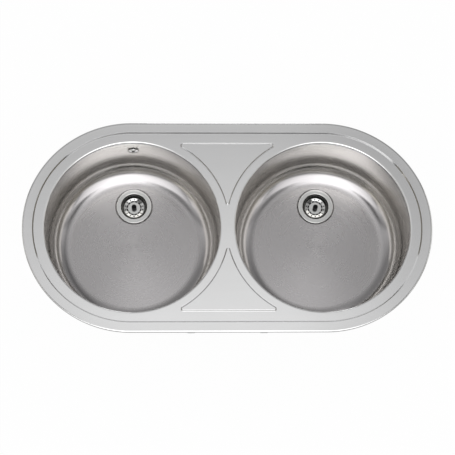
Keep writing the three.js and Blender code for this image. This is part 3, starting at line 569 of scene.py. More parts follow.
def steel(name, pale, dark, rough, anisotropy, centre=None, lines=900.0, depth=0.004, low=None, spun=(0, 1)):
    """Stainless steel with a straight grain along X, or a spun grain round a centre.
    Low gives another pair of colours and the heights between which they take over, which paints light and
    shade by height, then what is added to the roughness and the heights between which that fades.
    Spun gives the radii between which loose scratches give way to the spun ones."""
    look, shader, principled, place = material(name, Metallic=1.0, Anisotropic=anisotropy)
    settings = {"Place": place, "Lines_per_metre": lines}
    if centre is None:
        grain = use(shader, STRAIGHT_GRAIN, **settings)
        along = (1, 0, 0)
    else:
        grain = use(shader, SPUN_GRAIN, Centre=Vector(centre) * MM, **settings)
        arm = shader.vector("MULTIPLY", shader.vector("SUBTRACT", place, Vector(centre) * MM), (1, 1, 0))
        round_axis = shader.vector("CROSS_PRODUCT", (0, 0, 1), shader.vector("NORMALIZE", arm))
        scratches_per_metre, looseness = 2600.0, 2.2
        loose = shader.add("TexNoise", Vector=place, Scale=scratches_per_metre, Detail=1.0).outputs["Color"]
        loose = shader.vector("SUBTRACT", loose, (0.5, 0.5, 0.5))
        radius = shader.vector("LENGTH", arm, output=1)
        worn = shader.spread(radius, spun[0] * MM, spun[1] * MM, looseness, 0.0)
        loose = shader.vector("MULTIPLY", loose, shader.add("CombineXYZ", X=worn, Y=worn).outputs[0])
        loose = shader.vector("MULTIPLY", loose, (3, 3, 3))
        along = shader.vector("NORMALIZE", shader.vector("ADD", round_axis, loose))
    if anisotropy:
        surface = shader.add("NewGeometry").outputs["Normal"]
        shader.feed(principled, "Tangent", shader.vector("CROSS_PRODUCT", surface, along))
    marks = use(shader, HANDLING, Place=place)
    shade = shader.times(grain["Mask"], 0.7)
    shade = shader.math("MULTIPLY_ADD", marks["Smear"], 0.3, shade)
    tone = shader.mix(shade, (*dark, 1), (*pale, 1))
    gloss = shader.spread(grain["Mask"], 0.25, 0.75, rough[0], rough[1])
    if low:
        low_pale, low_dark, foot, top, rougher, rough_foot, rough_top = low
        height = shader.parts(place)[2]
        raised = shader.spread(height, foot * MM, top * MM, 0.0, 1.0)
        # Painted light and shade: below these heights the other colours take over.
        tone = shader.mix(raised, shader.mix(shade, (*low_dark, 1), (*low_pale, 1)), tone)
        rougher = shader.spread(height, rough_foot * MM, rough_top * MM, rougher, 0.0)
        gloss = shader.math("ADD", gloss, rougher)
    shader.feed(principled, "Base Color", tone)
    gloss = shader.math("MULTIPLY_ADD", marks["Smear"], 0.03, gloss)
    gloss = shader.math("MULTIPLY_ADD", marks["Dust"], 0.02, gloss)
    shader.feed(principled, "Roughness", gloss)
    bump(shader, principled, grain["Height"], depth, 0.6)
    return look


def moulded(name, pale, dark, rough, cells, depth, **settings):
    """Rubber, plastic or foam with a fine cell texture and faint dust."""
    look, shader, principled, place = material(name, **settings)
    skin = use(shader, PITTED, Place=place, Cells_per_metre=cells)
    marks = use(shader, HANDLING, Place=place, Smears_per_metre=25.0)
    shade = shader.math("MULTIPLY_ADD", marks["Dust"], 0.4, shader.times(skin["Shade"], 0.6))
    shader.feed(principled, "Base Color", shader.mix(shade, (*dark, 1), (*pale, 1)))
    shader.feed(principled, "Roughness", shader.spread(marks["Smear"], 0.0, 1.0, rough[0], rough[1]))
    bump(shader, principled, skin["Height"], depth, 0.5)
    return look


def zinc(name):
    """Zinc plate: soft blotches of grey with a faint warm cast."""
    look, shader, principled, place = material(name, Metallic=1.0)
    flakes = shader.add("TexVoronoi", Vector=place, Scale=420.0)
    blotch = shader.noise(place, 60.0, 3.0)
    tone = shader.mix(blotch, (0.44, 0.45, 0.47, 1), (0.62, 0.62, 0.60, 1))
    value = shader.add("SeparateColor", Color=flakes.outputs["Color"]).outputs[0]
    tone = shader.mix(shader.times(value, 0.35), tone, (0.7, 0.71, 0.72, 1))
    shader.feed(principled, "Base Color", tone)
    shader.feed(principled, "Roughness", shader.spread(value, 0.0, 1.0, 0.34, 0.5))
    bump(shader, principled, shader.noise(place, 900.0, 2.0), 0.01, 0.4)
    return look


DECK_STEEL = steel(
    "satin_deck_steel", (0.57, 0.57, 0.572), (0.54, 0.54, 0.542), (0.07, 0.10), 0.3, depth=0.0015
)
BOWL_STEEL = {}
FLANGE_STEEL = {}
BASKET_STEEL = {}
for side, x in SIDES:
    # Painted light: the walls are painted pale as a painted reflection, and the floor and fillet from -122 mm
    # down are painted dark as painted shade.
    BOWL_STEEL[side] = steel(
        f"spun_{side}_bowl_steel_painted_light",
        (0.85, 0.835, 0.80),
        (0.58, 0.565, 0.535),
        (0.13, 0.18),
        0.5,
        centre=(x, 0, 0),
        lines=420.0,
        depth=0.0008,
        low=((0.345, 0.335, 0.338), (0.325, 0.316, 0.319), -150, -122, 0.1, FLOOR_Z + 0.2, FLOOR_Z + 3),
        spun=(30, 115),
    )
    polish = {"centre": (x, WASTE_Y, 0), "lines": 2400.0, "depth": 0.001}
    pale, dark = (0.53, 0.53, 0.525), (0.45, 0.45, 0.445)
    # Nearly black steel, used as painted shade in the flange cup and on the basket.
    black, blacker = (0.1, 0.1, 0.098), (0.06, 0.06, 0.058)
    deep, shallow = FLANGE_FOOT - 2, FLANGE_FOOT + 1.6
    # Painted shade: the flange steel is painted nearly black below the recess floor, inside the cup.
    cup = (black, blacker, deep, shallow, 0.15, deep, shallow)
    # Painted shade: the basket's rim and wall are painted nearly black, and only its floor, below the swap,
    # keeps the pale steel.
    dish = (pale, dark, FLANGE_FOOT - 7.6, FLANGE_FOOT - 7.2, 0.0, FLANGE_FOOT - 8, FLANGE_FOOT - 7)
    rough = (0.10, 0.18)
    FLANGE_STEEL[side] = steel(f"polished_{side}_flange_steel_painted_shade", pale, dark, rough, 0.3, low=cup, **polish)
    BASKET_STEEL[side] = steel(
        f"polished_{side}_basket_steel_painted_shade", black, blacker, rough, 0.3, low=dish, **polish
    )
ROSE_STEEL = steel(
    "polished_rose_steel", (0.72, 0.72, 0.715), (0.66, 0.66, 0.655), rough, 0.0, depth=0.001
)
# Painted shade: the overflow plate's screw is painted nearly black so that its slot and socket read dark.
SCREW_STEEL = steel(
    "screw_steel_painted_dark", (0.12, 0.12, 0.12), (0.08, 0.08, 0.08), (0.25, 0.35), 0.0, depth=0.001
)
BLACK_RUBBER = moulded(
    "black_rubber", (0.035, 0.035, 0.036), (0.016, 0.016, 0.017), (0.6, 0.8), 1500.0, 0.02
)
KNOB_PLASTIC = moulded(
    "knob_plastic",
    (0.012, 0.012, 0.013),
    (0.006, 0.006, 0.007),
    (0.3, 0.42),
    2500.0,
    0.002,
    Specular_IOR_Level=0.03,
)
BODY_PLASTIC = moulded(
    "body_plastic", (0.05, 0.051, 0.053), (0.03, 0.031, 0.033), (0.38, 0.52), 1800.0, 0.015
)
FOAM = moulded("foam_strip", (0.085, 0.086, 0.088), (0.045, 0.045, 0.047), (0.85, 0.95), 1400.0, 0.12)
DAMPING = moulded("damping_pad", (0.10, 0.101, 0.104), (0.065, 0.066, 0.068), (0.7, 0.9), 260.0, 0.25)
ZINC = zinc("zinc_plate")


def dressed(piece, look, body, slot, *nodes):
    """Gives a piece its finish and its body, and hides the nodes that it stands for. The slot is not used."""
    piece.data.materials.clear()
    piece.data.materials.append(look)
    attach(piece, body)
    if nodes:
        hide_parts(*nodes)
    return piece


# ---- deck


def rim_skin():
    """Turned-down edge, gently dished rim band and the step down to the deck."""
    edge = arc(END_RADIUS - EDGE_ROUND, RIM_TOP - EDGE_ROUND, EDGE_ROUND, 0, 90, 6)
    low_edge = RIM_TOP - RIM_DISH
    band = [(END_RADIUS - 4, RIM_TOP), (END_RADIUS - 5, RIM_TOP - 0.02), (STEP_TOP + 1, low_edge)]
    bend = STEP_ROUND * math.tan(math.radians(STEP_SLOPE / 2))
    step_top = arc(STEP_TOP + bend, low_edge - STEP_ROUND, STEP_ROUND, 90, 90 + STEP_SLOPE, 6)
    step_foot = arc(STEP_FOOT - bend, DECK_TOP + STEP_ROUND, STEP_ROUND, STEP_SLOPE - 90, -90, 6)
    flat = [(STEP_FOOT - 1, DECK_TOP), (STEP_FOOT - 1 - FLAT_MARGIN, DECK_TOP)]
    profile = [(END_RADIUS, EDGE_FOOT), (END_RADIUS, 1.2), *edge, *band, *step_top, *step_foot, *flat]
    return ringed("rim", profile, reach=END_CENTRE, facets=2 * ROUND)


def mouth_skin(x):
    """The deck's sheet rolling down into a bowl."""
    roll = arc(MOUTH_RADIUS, DECK_TOP - MOUTH_ROLL, MOUTH_ROLL, 90, 180, 8)
    profile = [(MOUTH_RADIUS + FLAT_MARGIN, DECK_TOP), *roll, (WALL_RADIUS, WELD_Z)]
    return ringed("mouth", profile, centre=(x, 0), facets=ROUND)


def spin_edge(centre, degrees, steps):
    """Carries the selected vertex round a centre, clockwise as seen from above."""
    place = Vector((*centre, DECK_TOP)) * MM
    bpy.ops.mesh.spin(steps=steps, angle=math.radians(degrees), center=place, axis=(0, 0, 1))


def draw_edge(x, y):
    bpy.ops.mesh.extrude_region_move(TRANSFORM_OT_translate={"value": (x * MM, y * MM, 0)})


def panel_skin(name, turn):
    """A raised three-sided panel: its outline spun and drawn, filled, then inset upwards."""
    grow = PANEL_FOOT + PANEL_MARGIN
    side = PANEL_ARC - grow
    tip_round = PANEL_TIP_ROUND + grow
    tip_y = math.sqrt((side + tip_round) ** 2 - BOWL_X**2)
    tip_angle = math.degrees(math.atan2(tip_y, BOWL_X))
    half = PANEL_HALF_LENGTH + grow
    side_end = math.degrees(math.acos((BOWL_X - half) / side))
    far = PANEL_FAR_EDGE + grow
    corner_y = side * math.sin(math.radians(side_end))
    start = (BOWL_X - side * math.cos(math.radians(tip_angle)), side * math.sin(math.radians(tip_angle)))
    in_object_mode()
    bpy.ops.mesh.primitive_plane_add(size=MM, location=Vector((*start, DECK_TOP)) * MM)
    piece = named(name)
    edit(piece)
    bpy.ops.mesh.merge(type="CENTER")
    side_steps, tip_steps = 28, 12
    spin_edge((BOWL_X, 0), side_end - tip_angle, side_steps)
    draw_edge(0, far - corner_y)
    draw_edge(-2 * half, 0)
    draw_edge(0, corner_y - far)
    spin_edge((-BOWL_X, 0), side_end - tip_angle, side_steps)
    spin_edge((0, tip_y), -(180 - 2 * tip_angle), tip_steps)
    bpy.ops.mesh.select_all(action="SELECT")
    bpy.ops.mesh.remove_doubles(threshold=0.01 * MM)
    for corner, radius in ((far, PANEL_CORNER), (corner_y, PANEL_SIDE_CORNER)):
        pick(piece, lambda at, y=corner: abs(at.x) > half - 0.01 and abs(at.y - y) < 0.01)
        bpy.ops.mesh.bevel(offset=radius * MM, segments=5, affect="VERTICES")
    bpy.ops.mesh.select_all(action="SELECT")
    bpy.ops.mesh.edge_face_add()
    bpy.ops.mesh.normals_make_consistent(inside=False)
    shape = bmesh.from_edit_mesh(piece.data)
    if shape.faces[:][0].normal.z < 0:
        bpy.ops.mesh.flip_normals()
    for width, rise in PANEL_BENDS:
        bpy.ops.mesh.inset(thickness=width * MM, depth=rise * MM, use_even_offset=True)
    bpy.ops.mesh.select_all(action="SELECT")
    bpy.ops.transform.rotate(value=math.radians(turn), orient_axis="Z", center_override=(0, 0, 0))
    return piece


def build_deck():
    skins = [rim_skin(), mouth_skin(-BOWL_X), mouth_skin(BOWL_X)]
    skins += [panel_skin("rear_panel", 0), panel_skin("front_panel", 180)]
    deck = joined("deck", *skins)
    filled_sheet(deck, DECK_TOP, SHEET)
    dressed(smoothed(deck, 50), DECK_STEEL, "root", "satin_steel", "sink_deck")


# ---- bowls


def build_bowl(side, x, has_overflow):
    lean = math.degrees(math.atan2(WALL_DRAFT, WELD_Z - FILLET_Z))
    flat_radius = FOOT_RADIUS - FLOOR_FILLET
    fillet = arc(flat_radius, FILLET_Z, FLOOR_FILLET, -lean, -90, 18)
    rings = 5
    wall = [
        (WALL_RADIUS - WALL_DRAFT * i / rings, WELD_Z + (FILLET_Z - WELD_Z) * i / rings)
        for i in range(rings)
    ]
    shell = ringed("shell", [*wall, *fillet, (flat_radius - 0.5, FLOOR_Z)], centre=(x, 0), facets=ROUND)
    mouth = [(RECESS_MOUTH + 0.5, FLOOR_Z), (RECESS_MOUTH, FLOOR_Z), (RECESS_MOUTH - 0.5, FLOOR_Z - 0.25)]
    foot = [(RECESS_RADIUS + 0.4, FLANGE_FOOT + 0.25), (RECESS_RADIUS, FLANGE_FOOT)]
    hole = (WASTE_HOLE, FLANGE_FOOT)
    recess = ringed("recess", [*mouth, *foot, hole], centre=(x, WASTE_Y), facets=SMALL_ROUND)
    bowl = joined(f"{side}_bowl_shell", shell, recess)
    filled_sheet(bowl, FLOOR_Z, BOWL_SHEET)
    if has_overflow:
        cut(bowl, rod("hole", OVERFLOW_HOLE, (x, 150, ROSE.z), (x, 200, ROSE.z), SMALL_ROUND))
    dressed(smoothed(bowl, 50), BOWL_STEEL[side], "root", "satin_steel", f"{side}_bowl")


def build_sound_pad(side, x):
    top = high(f"{side}_sound_pad").z
    foot = low(f"{side}_sound_pad").z
    radius = high(f"{side}_sound_pad").x - x
    profile = [(radius - 1, foot), (radius, foot + 1), (radius, top), (0, top)]
    pad = turned(f"{side}_damping_pad", profile, centre=(x, 0), facets=ROUND)
    cut(pad, rod("bite", PAD_BITE, (x, WASTE_Y, foot - 2), (x, WASTE_Y, top + 2), SMALL_ROUND))
    dressed(smoothed(pad), DAMPING, "root", "damping_pad", f"{side}_sound_pad")


# ---- wastes


def waste_turned(name, x, profile, facets=SMALL_ROUND):
    """A part of a waste, its profile's heights measured from the floor of the recess."""
    raised = [(radius, height + FLANGE_FOOT) for radius, height in profile]
    return turned(name, raised, centre=(x, WASTE_Y), facets=facets)


def waste_rod(name, radius, x, foot, top):
    """An upright rod on a waste's axis, its heights measured from the floor of the recess."""
    return rod(name, radius, (x, WASTE_Y, FLANGE_FOOT + foot), (x, WASTE_Y, FLANGE_FOOT + top))


def build_flange(side, x):
    lip = [(37.2, 1.0), (37.2, 1.5), *arc(36.2, 1.8, 1.0, 10, 90, 5), (35.6, 2.8), (29.6, 2.75)]
    cup = [*arc(29, 1.55, 1.2, 90, 180, 5), (27.8, -2), (27.8, -18.2), (27.0, -19), (2.8, -19)]
    outside = [(2.8, -20), (28.8, -20), (28.8, 1.0), (37.2, 1.0)]
    flange = waste_turned(f"{side}_waste_flange", x, [*lip, *cup, *outside])
    six_holes(flange, (x, WASTE_Y), 17, 5, FLANGE_FOOT - 23, FLANGE_FOOT - 17)
    dressed(smoothed(flange), FLANGE_STEEL[side], "root", "polished_steel", f"{side}_strainer_flange")


BASKET_CUTS = (
    # how many, those left out, radii, width, heights
    (36, (), (25.1, 27.0), 1.5, (-3, 3)),  # notches in the rim
    (24, (15, 19), (21.3, 24.8), 5.0, (-7.1, -0.9)),  # slots in the wall
    (14, (), (17.4, 20.6), 2.3, (-14, -2)),  # slots in the slope
    (12, (), (13.2, 16.2), 5.8, (-13, -8)),  # slots in the floor
)


def build_basket(side, x):
    """The strainer dish with its notches and slots, its knob and its plug."""
    body = f"{side}_basket"
    rim = (25.9, -0.6)
    under = [(24.9, -1.3), (23.1, -7.4), (22.4, -8.6), (17.0, -9.9), (16.4, -11.1), (13.1, -11.1)]
    under += [(12.7, -10.4), (2.8, -10.4)]
    top = [(2.8, -9.6), (13.1, -9.6), (13.7, -10.3), (15.9, -10.3), (16.3, -9.0), (21.5, -7.9)]
    top += [(22.1, -7.0), (24.0, -0.6), *arc(25.2, 0.1, 0.7, 150, -20, 6)]
    dish = waste_turned(f"{side}_strainer_dish", x, [rim, *under, *top, rim], 2 * SMALL_ROUND)
    cutters = []
    for count, left_out, radii, width, heights in BASKET_CUTS:
        for i in range(count):
            if i not in left_out:
                cutter = block("slot", radii, (-width / 2, width / 2), heights)
                turn = about("Z", 360 / count * (i + 0.5))
                cutters.append(placed(cutter, at(x, WASTE_Y, FLANGE_FOOT) @ turn))
    cut(dish, joined("cutters", *cutters))
    dressed(smoothed(dish), BASKET_STEEL[side], body, "polished_steel", f"{side}_basket")

    shaft = [(2.5, -14.4), (2.5, -9.6), (5.2, -9.6), (5.2, -8.6)]
    grip = [*arc(6.6, -5.2, 3.0, 230, 130, 8), (5.2, -1.6), (5.2, 0.6)]
    crown = [*arc(4.0, 0.7, 1.2, 0, 80, 5), (1.6, 1.6), (0, 1.45)]
    knob = waste_turned(f"{side}_knob", x, [*shaft, *grip, *crown], PIN_ROUND)
    dressed(knob, KNOB_PLASTIC, body, "dark_plastic", f"{side}_basket_knob")

    disc = [(7.5, -19), (24.6, -19), (25.3, -18.4), (25.1, -17.4), (23, -16.8), (14, -15.4)]
    neck = [(10.6, -14), (10, -12.5), (10, -10.4), (2.8, -10.4), (2.8, -15), (7.5, -15), (7.5, -19)]
    seal = waste_turned(f"{side}_plug", x, [*disc, *neck])
    dressed(seal, BLACK_RUBBER, body, "black_rubber", f"{side}_plug_seal")


def build_waste_body(side, x, has_overflow):
    thread = []
    foot, pitch = -74, 2.3
    for i in range(11):
        z = foot + pitch * i
        thread += [(22.9, z), (23.9, z + 0.8), (23.9, z + 1.3), (22.9, z + 2.1)]
    cone = [(22.9, -46.6), (24.2, -45.6), (34.2, -35.4), (34.5, -34), (34.5, -12), (36.0, -11.4)]
    collar = [(36.0, -9.6), (34.5, -9), (34.5, -7.6), (39.2, -6.8), (40, -6.2), (40, -3.8)]
    inside = [(32, -3.8), (32, -34), (20, -46), (20, -73.2), (20.6, -74), (22.4, -74)]
    profile = [(22.4, foot), *thread[1:], *cone, *collar, *inside]
    body = waste_turned(f"{side}_body", x, profile)
    boss = waste_rod("boss", 7, x, -34, -20)
    axis = at(x, WASTE_Y, FLANGE_FOOT)
    ribs = []
    for i in range(3):
        rib = block("rib", (0, 33), (-1.25, 1.25), (-34, -23.5), 0.3)
        ribs.append(placed(rib, axis @ about("Z", 120 * i + 30)))
    for i in range(12):
        if not (has_overflow and i == 3):  # the spigot takes that rib's place
            rib = block("rib", (33, 36.4), (-1.1, 1.1), (-31, -7), 0.5)
            ribs.append(placed(rib, axis @ about("Z", 30 * i)))
    welded(body, boss, *ribs)
    level = FLANGE_FOOT - 19
    if has_overflow:
        welded(body, rod("spigot", 8.5, (x, WASTE_Y + 33, level), (x, WASTE_Y + 56.5, level), PIN_ROUND, 0.5))
        cut(body, rod("bore", 6.5, (x, WASTE_Y + 30, level), (x, WASTE_Y + 60, level)))
    cut(body, waste_rod("bore", 2.8, x, -36, -18))
    dressed(smoothed(body), BODY_PLASTIC, "root", "body_plastic", f"{side}_waste_body")

    section = [(32, -3.8), (38.6, -3.8), (39, -3.2), (39.3, -2.3), (39, -1.4), (38.6, -0.8)]
    gasket = waste_turned(f"{side}_bowl_gasket", x, [*section, (32, -0.8), (32, -3.8)])
    dressed(gasket, BLACK_RUBBER, "root", "black_rubber", f"{side}_body_gasket")

    head = [(5.5, -19), (5.5, -17.2), (5.0, -16.5), (3.4, -16.1), (0, -16)]
    screw = waste_turned(f"{side}_centre_screw", x, [(2.5, -32.4), (2.5, -19), *head], PIN_ROUND)
    level = FLANGE_FOOT - 16.8
    cut(screw, block("slot", (x - 6, x + 6), (WASTE_Y - 0.7, WASTE_Y + 0.7), (level, level + 3)))
    dressed(smoothed(screw), FLANGE_STEEL[side], "root", "polished_steel", f"{side}_waste_screw")


# ---- overflow


def build_rose():
    """A domed plate with six holes round its screw, facing into the bowl."""
    thick = ROSE_BACK - low("overflow_rose").y
    facing = at(ROSE.x, ROSE_BACK, ROSE.z) @ about("X", 90)
    front = [(11.5, 0), (12, 0.3), (12, 0.5), *arc(11.5, 0.5, 0.5, 0, 70, 4), (7, thick), (2.1, thick)]
    rose = turned("overflow_plate", [*front, (2.1, thick - 0.5), (7, thick - 0.5), (11, 0.4), (11.5, 0)])
    six_holes(rose, (0, 0), 9.2, 2.2, -2, 3, 24)
    placed(smoothed(rose), facing)
    dressed(rose, ROSE_STEEL, "root", "polished_steel", "overflow_rose")

    tail = high("overflow_screw").y - ROSE_BACK
    head = [(3.4, thick), *arc(2.6, thick + 0.2, 0.8, 0, 70, 4), (1.6, thick + 1.35), (0, thick + 1.4)]
    screw = turned("overflow_plate_screw", [(1.8, -tail), (1.8, thick), *head], facets=PIN_ROUND)
    cut(screw, block("slot", (-4, 4), (-0.5, 0.5), (thick + 0.7, thick + 3)))
    placed(smoothed(screw), facing)
    dressed(screw, SCREW_STEEL, "root", "polished_steel", "overflow_screw")


def build_overflow_housing():
    face = low("overflow_housing").y
    back = high("overflow_housing").y
    foot = low("overflow_housing").z
    facing = at(ROSE.x, face, ROSE.z) @ about("X", -90)
    depth = back - face
    corner = arc(12, depth - 3, 3, 0, 90, 6)
    cover = turned("overflow_back", [(13, 0), (15, 0), (15, depth - 3), *corner, (3, depth), (0, depth)])
    placed(cover, facing)
    pipe_y = (face + back) / 2
    pipe = rod("pipe", 8.5, (ROSE.x, pipe_y, foot), (ROSE.x, pipe_y, ROSE.z), PIN_ROUND, 0.4)
    welded(cover, pipe)
    hollow = rod("hollow", 13, (ROSE.x, face - 2, ROSE.z), (ROSE.x, back - 2, ROSE.z), SMALL_ROUND)
    bore = rod("bore", 6.5, (ROSE.x, pipe_y, foot - 2), (ROSE.x, pipe_y, ROSE.z))
    cut(cover, hollow, bore)
    boss = rod("boss", 4, (ROSE.x, back - 9, ROSE.z), (ROSE.x, back - 1, ROSE.z))
    welded(cover, boss)
    cut(cover, rod("bore", 2.1, (ROSE.x, back - 12, ROSE.z), (ROSE.x, back - 2, ROSE.z), 16))
    dressed(smoothed(cover), BODY_PLASTIC, "root", "body_plastic", "overflow_housing")

    profile = [(11, 0), (14.6, 0), (15, 0.6), (15, 1.9), (14.6, 2.5), (11, 2.5), (11, 0)]
    gasket = turned("overflow_seal", profile)
    placed(gasket, at(ROSE.x, low("overflow_gasket").y, ROSE.z) @ about("X", -90))
    dressed(gasket, BLACK_RUBBER, "root", "black_rubber", "overflow_gasket")


def build_hose():
    """A corrugated hose: ribs turned on a straight tube, which is then bent along its route."""
    inner = 8.8
    groove = 9.9
    cuff = 10.4
    outer = 11
    bend = 42
    hose_x = ROSE.x
    top = high("overflow_hose").z
    level = low("overflow_hose").z + outer
    back = high("overflow_hose").y - outer
    front = low("overflow_hose").y
    down = top - (level + bend)
    across = back - bend - front
    length = down + math.pi / 2 * bend + across
    plain = 12.5
    pitch = 4.0
    count = int((length - 2 * plain) / pitch)
    pitch = (length - 2 * plain) / count
    ribs = []
    for i in range(count):
        start = plain + pitch * i
        ribs += [(groove, start), (outer, start + 0.3 * pitch)]
        ribs += [(outer, start + 0.6 * pitch), (groove, start + 0.9 * pitch)]
    skin = [(cuff, 0), (cuff, plain - 0.5), *ribs, (cuff, length - plain + 0.2), (cuff, length)]
    lining = [(inner, length - pitch * i / 2) for i in range(int(2 * length / pitch))]
    hose = turned("corrugated_hose", [*skin, *lining, (inner, 0), (cuff, 0)], facets=PIN_ROUND, smooth=60)
    placed(hose, about("Y", 90))
    bpy.ops.curve.primitive_bezier_curve_add()
    route = bpy.context.object
    spline = route.data.splines[0]
    spline.bezier_points.add(2)
    hold = bend * 4 / 3 * math.tan(math.pi / 8)
    ends = [
        ((back, top), (back, top + 10), (back, top - down / 2)),
        ((back, level + bend), (back, level + bend + down / 2), (back, level + bend - hold)),
        ((back - bend, level), (back - bend + hold, level), (back - bend - across / 2, level)),
        ((front, level), (front + across / 2, level), (front - 10, level)),
    ]
    for point, (place, before, after) in zip(spline.bezier_points, ends):
        point.handle_left_type = "FREE"
        point.handle_right_type = "FREE"
        point.co = Vector((hose_x, *place)) * MM
        point.handle_left = Vector((hose_x, *before)) * MM
        point.handle_right = Vector((hose_x, *after)) * MM
    route.data.resolution_u = 48
    apply_modifier(hose, "CURVE", object=route, deform_axis="POS_X")
    bpy.data.objects.remove(route)
    tidy(hose, 60)
    dressed(hose, BODY_PLASTIC, "root", "body_plastic", "overflow_hose")


def build_hose_nut(name, node, facing):
    """A ribbed push-on nut over one end of the hose."""
    profile = [(11.3, 0), (12.6, 0), (13, 0.5), (13, 10.5), (12.6, 11), (11.3, 11), (11.3, 0)]
    nut = turned(name, profile, facets=PIN_ROUND)
    ribs = []
    for i in range(16):
        rib = block("rib", (12.5, 13.5), (-0.7, 0.7), (1.2, 9.8), 0.25, 1)
        ribs.append(placed(rib, about("Z", 22.5 * i)))
    welded(nut, joined("ribs", *ribs))
    placed(smoothed(nut), facing)
    dressed(nut, KNOB_PLASTIC, "root", "dark_plastic", node)


# ---- rim seal


def build_rim_seal():
    outer = high("rim_seal").y
    inner = outer - 5.5
    top = high("rim_seal").z
    outside = [(outer - 0.5, 0), (outer, 0.6), (outer, top - 0.6), (outer - 0.5, top)]
    inside = [(inner + 0.5, top), (inner, top - 0.6), (inner, 0.6), (inner + 0.5, 0)]
    profile = [(inner + 0.5, 0), *outside, *inside]
    strip = turned("foam_seal", profile, facets=2 * ROUND, reach=END_CENTRE)
    dressed(strip, FOAM, "root", "foam_strip", "rim_seal")


# ---- clamps

CLAMP_PIN_X = END_RADIUS - 18.5
CLAMP_PIN_Z = -46.0
CLAMP_WEB_X = CLAMP_PIN_X - 5
CLAMP_SCREW_Z = CLAMP_PIN_Z - 24
CLAMP_CORNER = 4
STRIP = 1.5  # the thickness of the hanger's strip
CLAMPS = [  # name, centre along X, place along the rim, turn
    ("rear_left", 0, 75, 90),
    ("rear_right", 0, -75, 90),
    ("front_left", 0, -75, -90),
    ("front_right", 0, 75, -90),
    ("right_end_rear", END_CENTRE, 0, 40),
    ("right_end_front", END_CENTRE, 0, -40),
    ("left_end_rear", -END_CENTRE, 0, 140),
    ("left_end_front", -END_CENTRE, 0, 220),
]


def rounded_corners(piece, test):
    edit(piece)
    pick_edges(piece, test)
    bpy.ops.mesh.bevel(offset=CLAMP_CORNER * MM, segments=6, affect="EDGES")


def hanger_shape():
    """A bent strip: a welded foot, a hanging web, two ears and the pin between them."""
    under = DECK_TOP - SHEET
    foot = block("hanger", (CLAMP_WEB_X - 12, CLAMP_WEB_X), (-10, 10), (under - STRIP, under), 0.3)
    web = block("web", (CLAMP_WEB_X - STRIP, CLAMP_WEB_X), (-10, 10), (CLAMP_PIN_Z - 6, under), 0.3)
    ears = []
    for y in (-10, 8.5):
        across = (CLAMP_WEB_X - STRIP, CLAMP_PIN_X + 4)
        ear = block("ear", across, (y, y + STRIP), (CLAMP_PIN_Z - 6, CLAMP_PIN_Z + 6))
        rounded_corners(ear, lambda edge: runs_along(edge, 1) and edge.verts[0].co.x > CLAMP_PIN_X * MM)
        ears.append(ear)
    pin = rod("pin", 2, (CLAMP_PIN_X, -10, CLAMP_PIN_Z), (CLAMP_PIN_X, 10, CLAMP_PIN_Z), 24)
    hanger = welded(foot, web, *ears, pin)
    window = rod("window", 3.5, (CLAMP_WEB_X - 4, 0, -22), (CLAMP_WEB_X + 3, 0, -22), 24)
    return cut(hanger, window)


def arm_shape():
    """A plate with a rolled eye, a threaded hole and a turned tip."""
    half = 10 - STRIP - 0.3
    back, front = CLAMP_PIN_X - 1.25, CLAMP_PIN_X + 1.25
    plate = block("arm", (back, front), (-half, half), (CLAMP_PIN_Z - 36, CLAMP_PIN_Z))
    lower = (CLAMP_PIN_Z - 30) * MM
    rounded_corners(
        plate, lambda edge: runs_along(edge, 0) and min(vertex.co.z for vertex in edge.verts) < lower
    )
    eye = rod("eye", 4.5, (CLAMP_PIN_X, -half, CLAMP_PIN_Z), (CLAMP_PIN_X, half, CLAMP_PIN_Z), 28, 0.4)
    arm = welded(plate, eye)
    boss = rod("boss", 4.2, (back - 0.8, 0, CLAMP_SCREW_Z), (front + 0.8, 0, CLAMP_SCREW_Z), 24, 0.3)
    welded(arm, boss)
    pin = rod("pin", 2.3, (CLAMP_PIN_X, -12, CLAMP_PIN_Z), (CLAMP_PIN_X, 12, CLAMP_PIN_Z), 24)
    thread = rod("thread", 2.8, (back - 4, 0, CLAMP_SCREW_Z), (front + 4, 0, CLAMP_SCREW_Z), 24)
    return cut(arm, pin, thread)


def screw_shape():
    """A slotted screw with its thread, lying outwards."""
    length = 20
    thread = [(2.1, 0)]
    count = 20
    for i in range(count):
        z = 0.4 + i * (length - 2) / count
        thread += [(2.1, z), (2.5, z + 0.35), (2.5, z + 0.5), (2.1, z + 0.85)]
    head = [(2.5, length - 1), (2.5, length), (4.5, length), (4.5, length + 2.2)]
    head += [(3.8, length + 3), (0, length + 3)]
    screw = turned("screw", [*thread, *head], facets=24)
    cut(screw, block("slot", (-6, 6), (-0.6, 0.6), (length + 1.4, length + 5)))
    return placed(screw, at(CLAMP_PIN_X + 3, 0, CLAMP_SCREW_Z) @ about("Y", -90))


def build_clamps():
    shapes = {"hanger": hanger_shape(), "arm": arm_shape(), "screw": screw_shape()}
    for part, shape in shapes.items():
        smoothed(shape)
        for name, centre_x, along, turn in CLAMPS:
            matrix = at(centre_x, 0, 0) @ about("Z", turn) @ at(0, along, 0)
            copy = copied(shape, f"{name}_clamp_{part}_look", matrix)
            body = "root" if part == "hanger" else f"{name}_clamp_{part}"
            dressed(copy, ZINC, body, "zinc_steel", f"{name}_clamp_{part}")
        bpy.data.objects.remove(shape)


# ---- studio


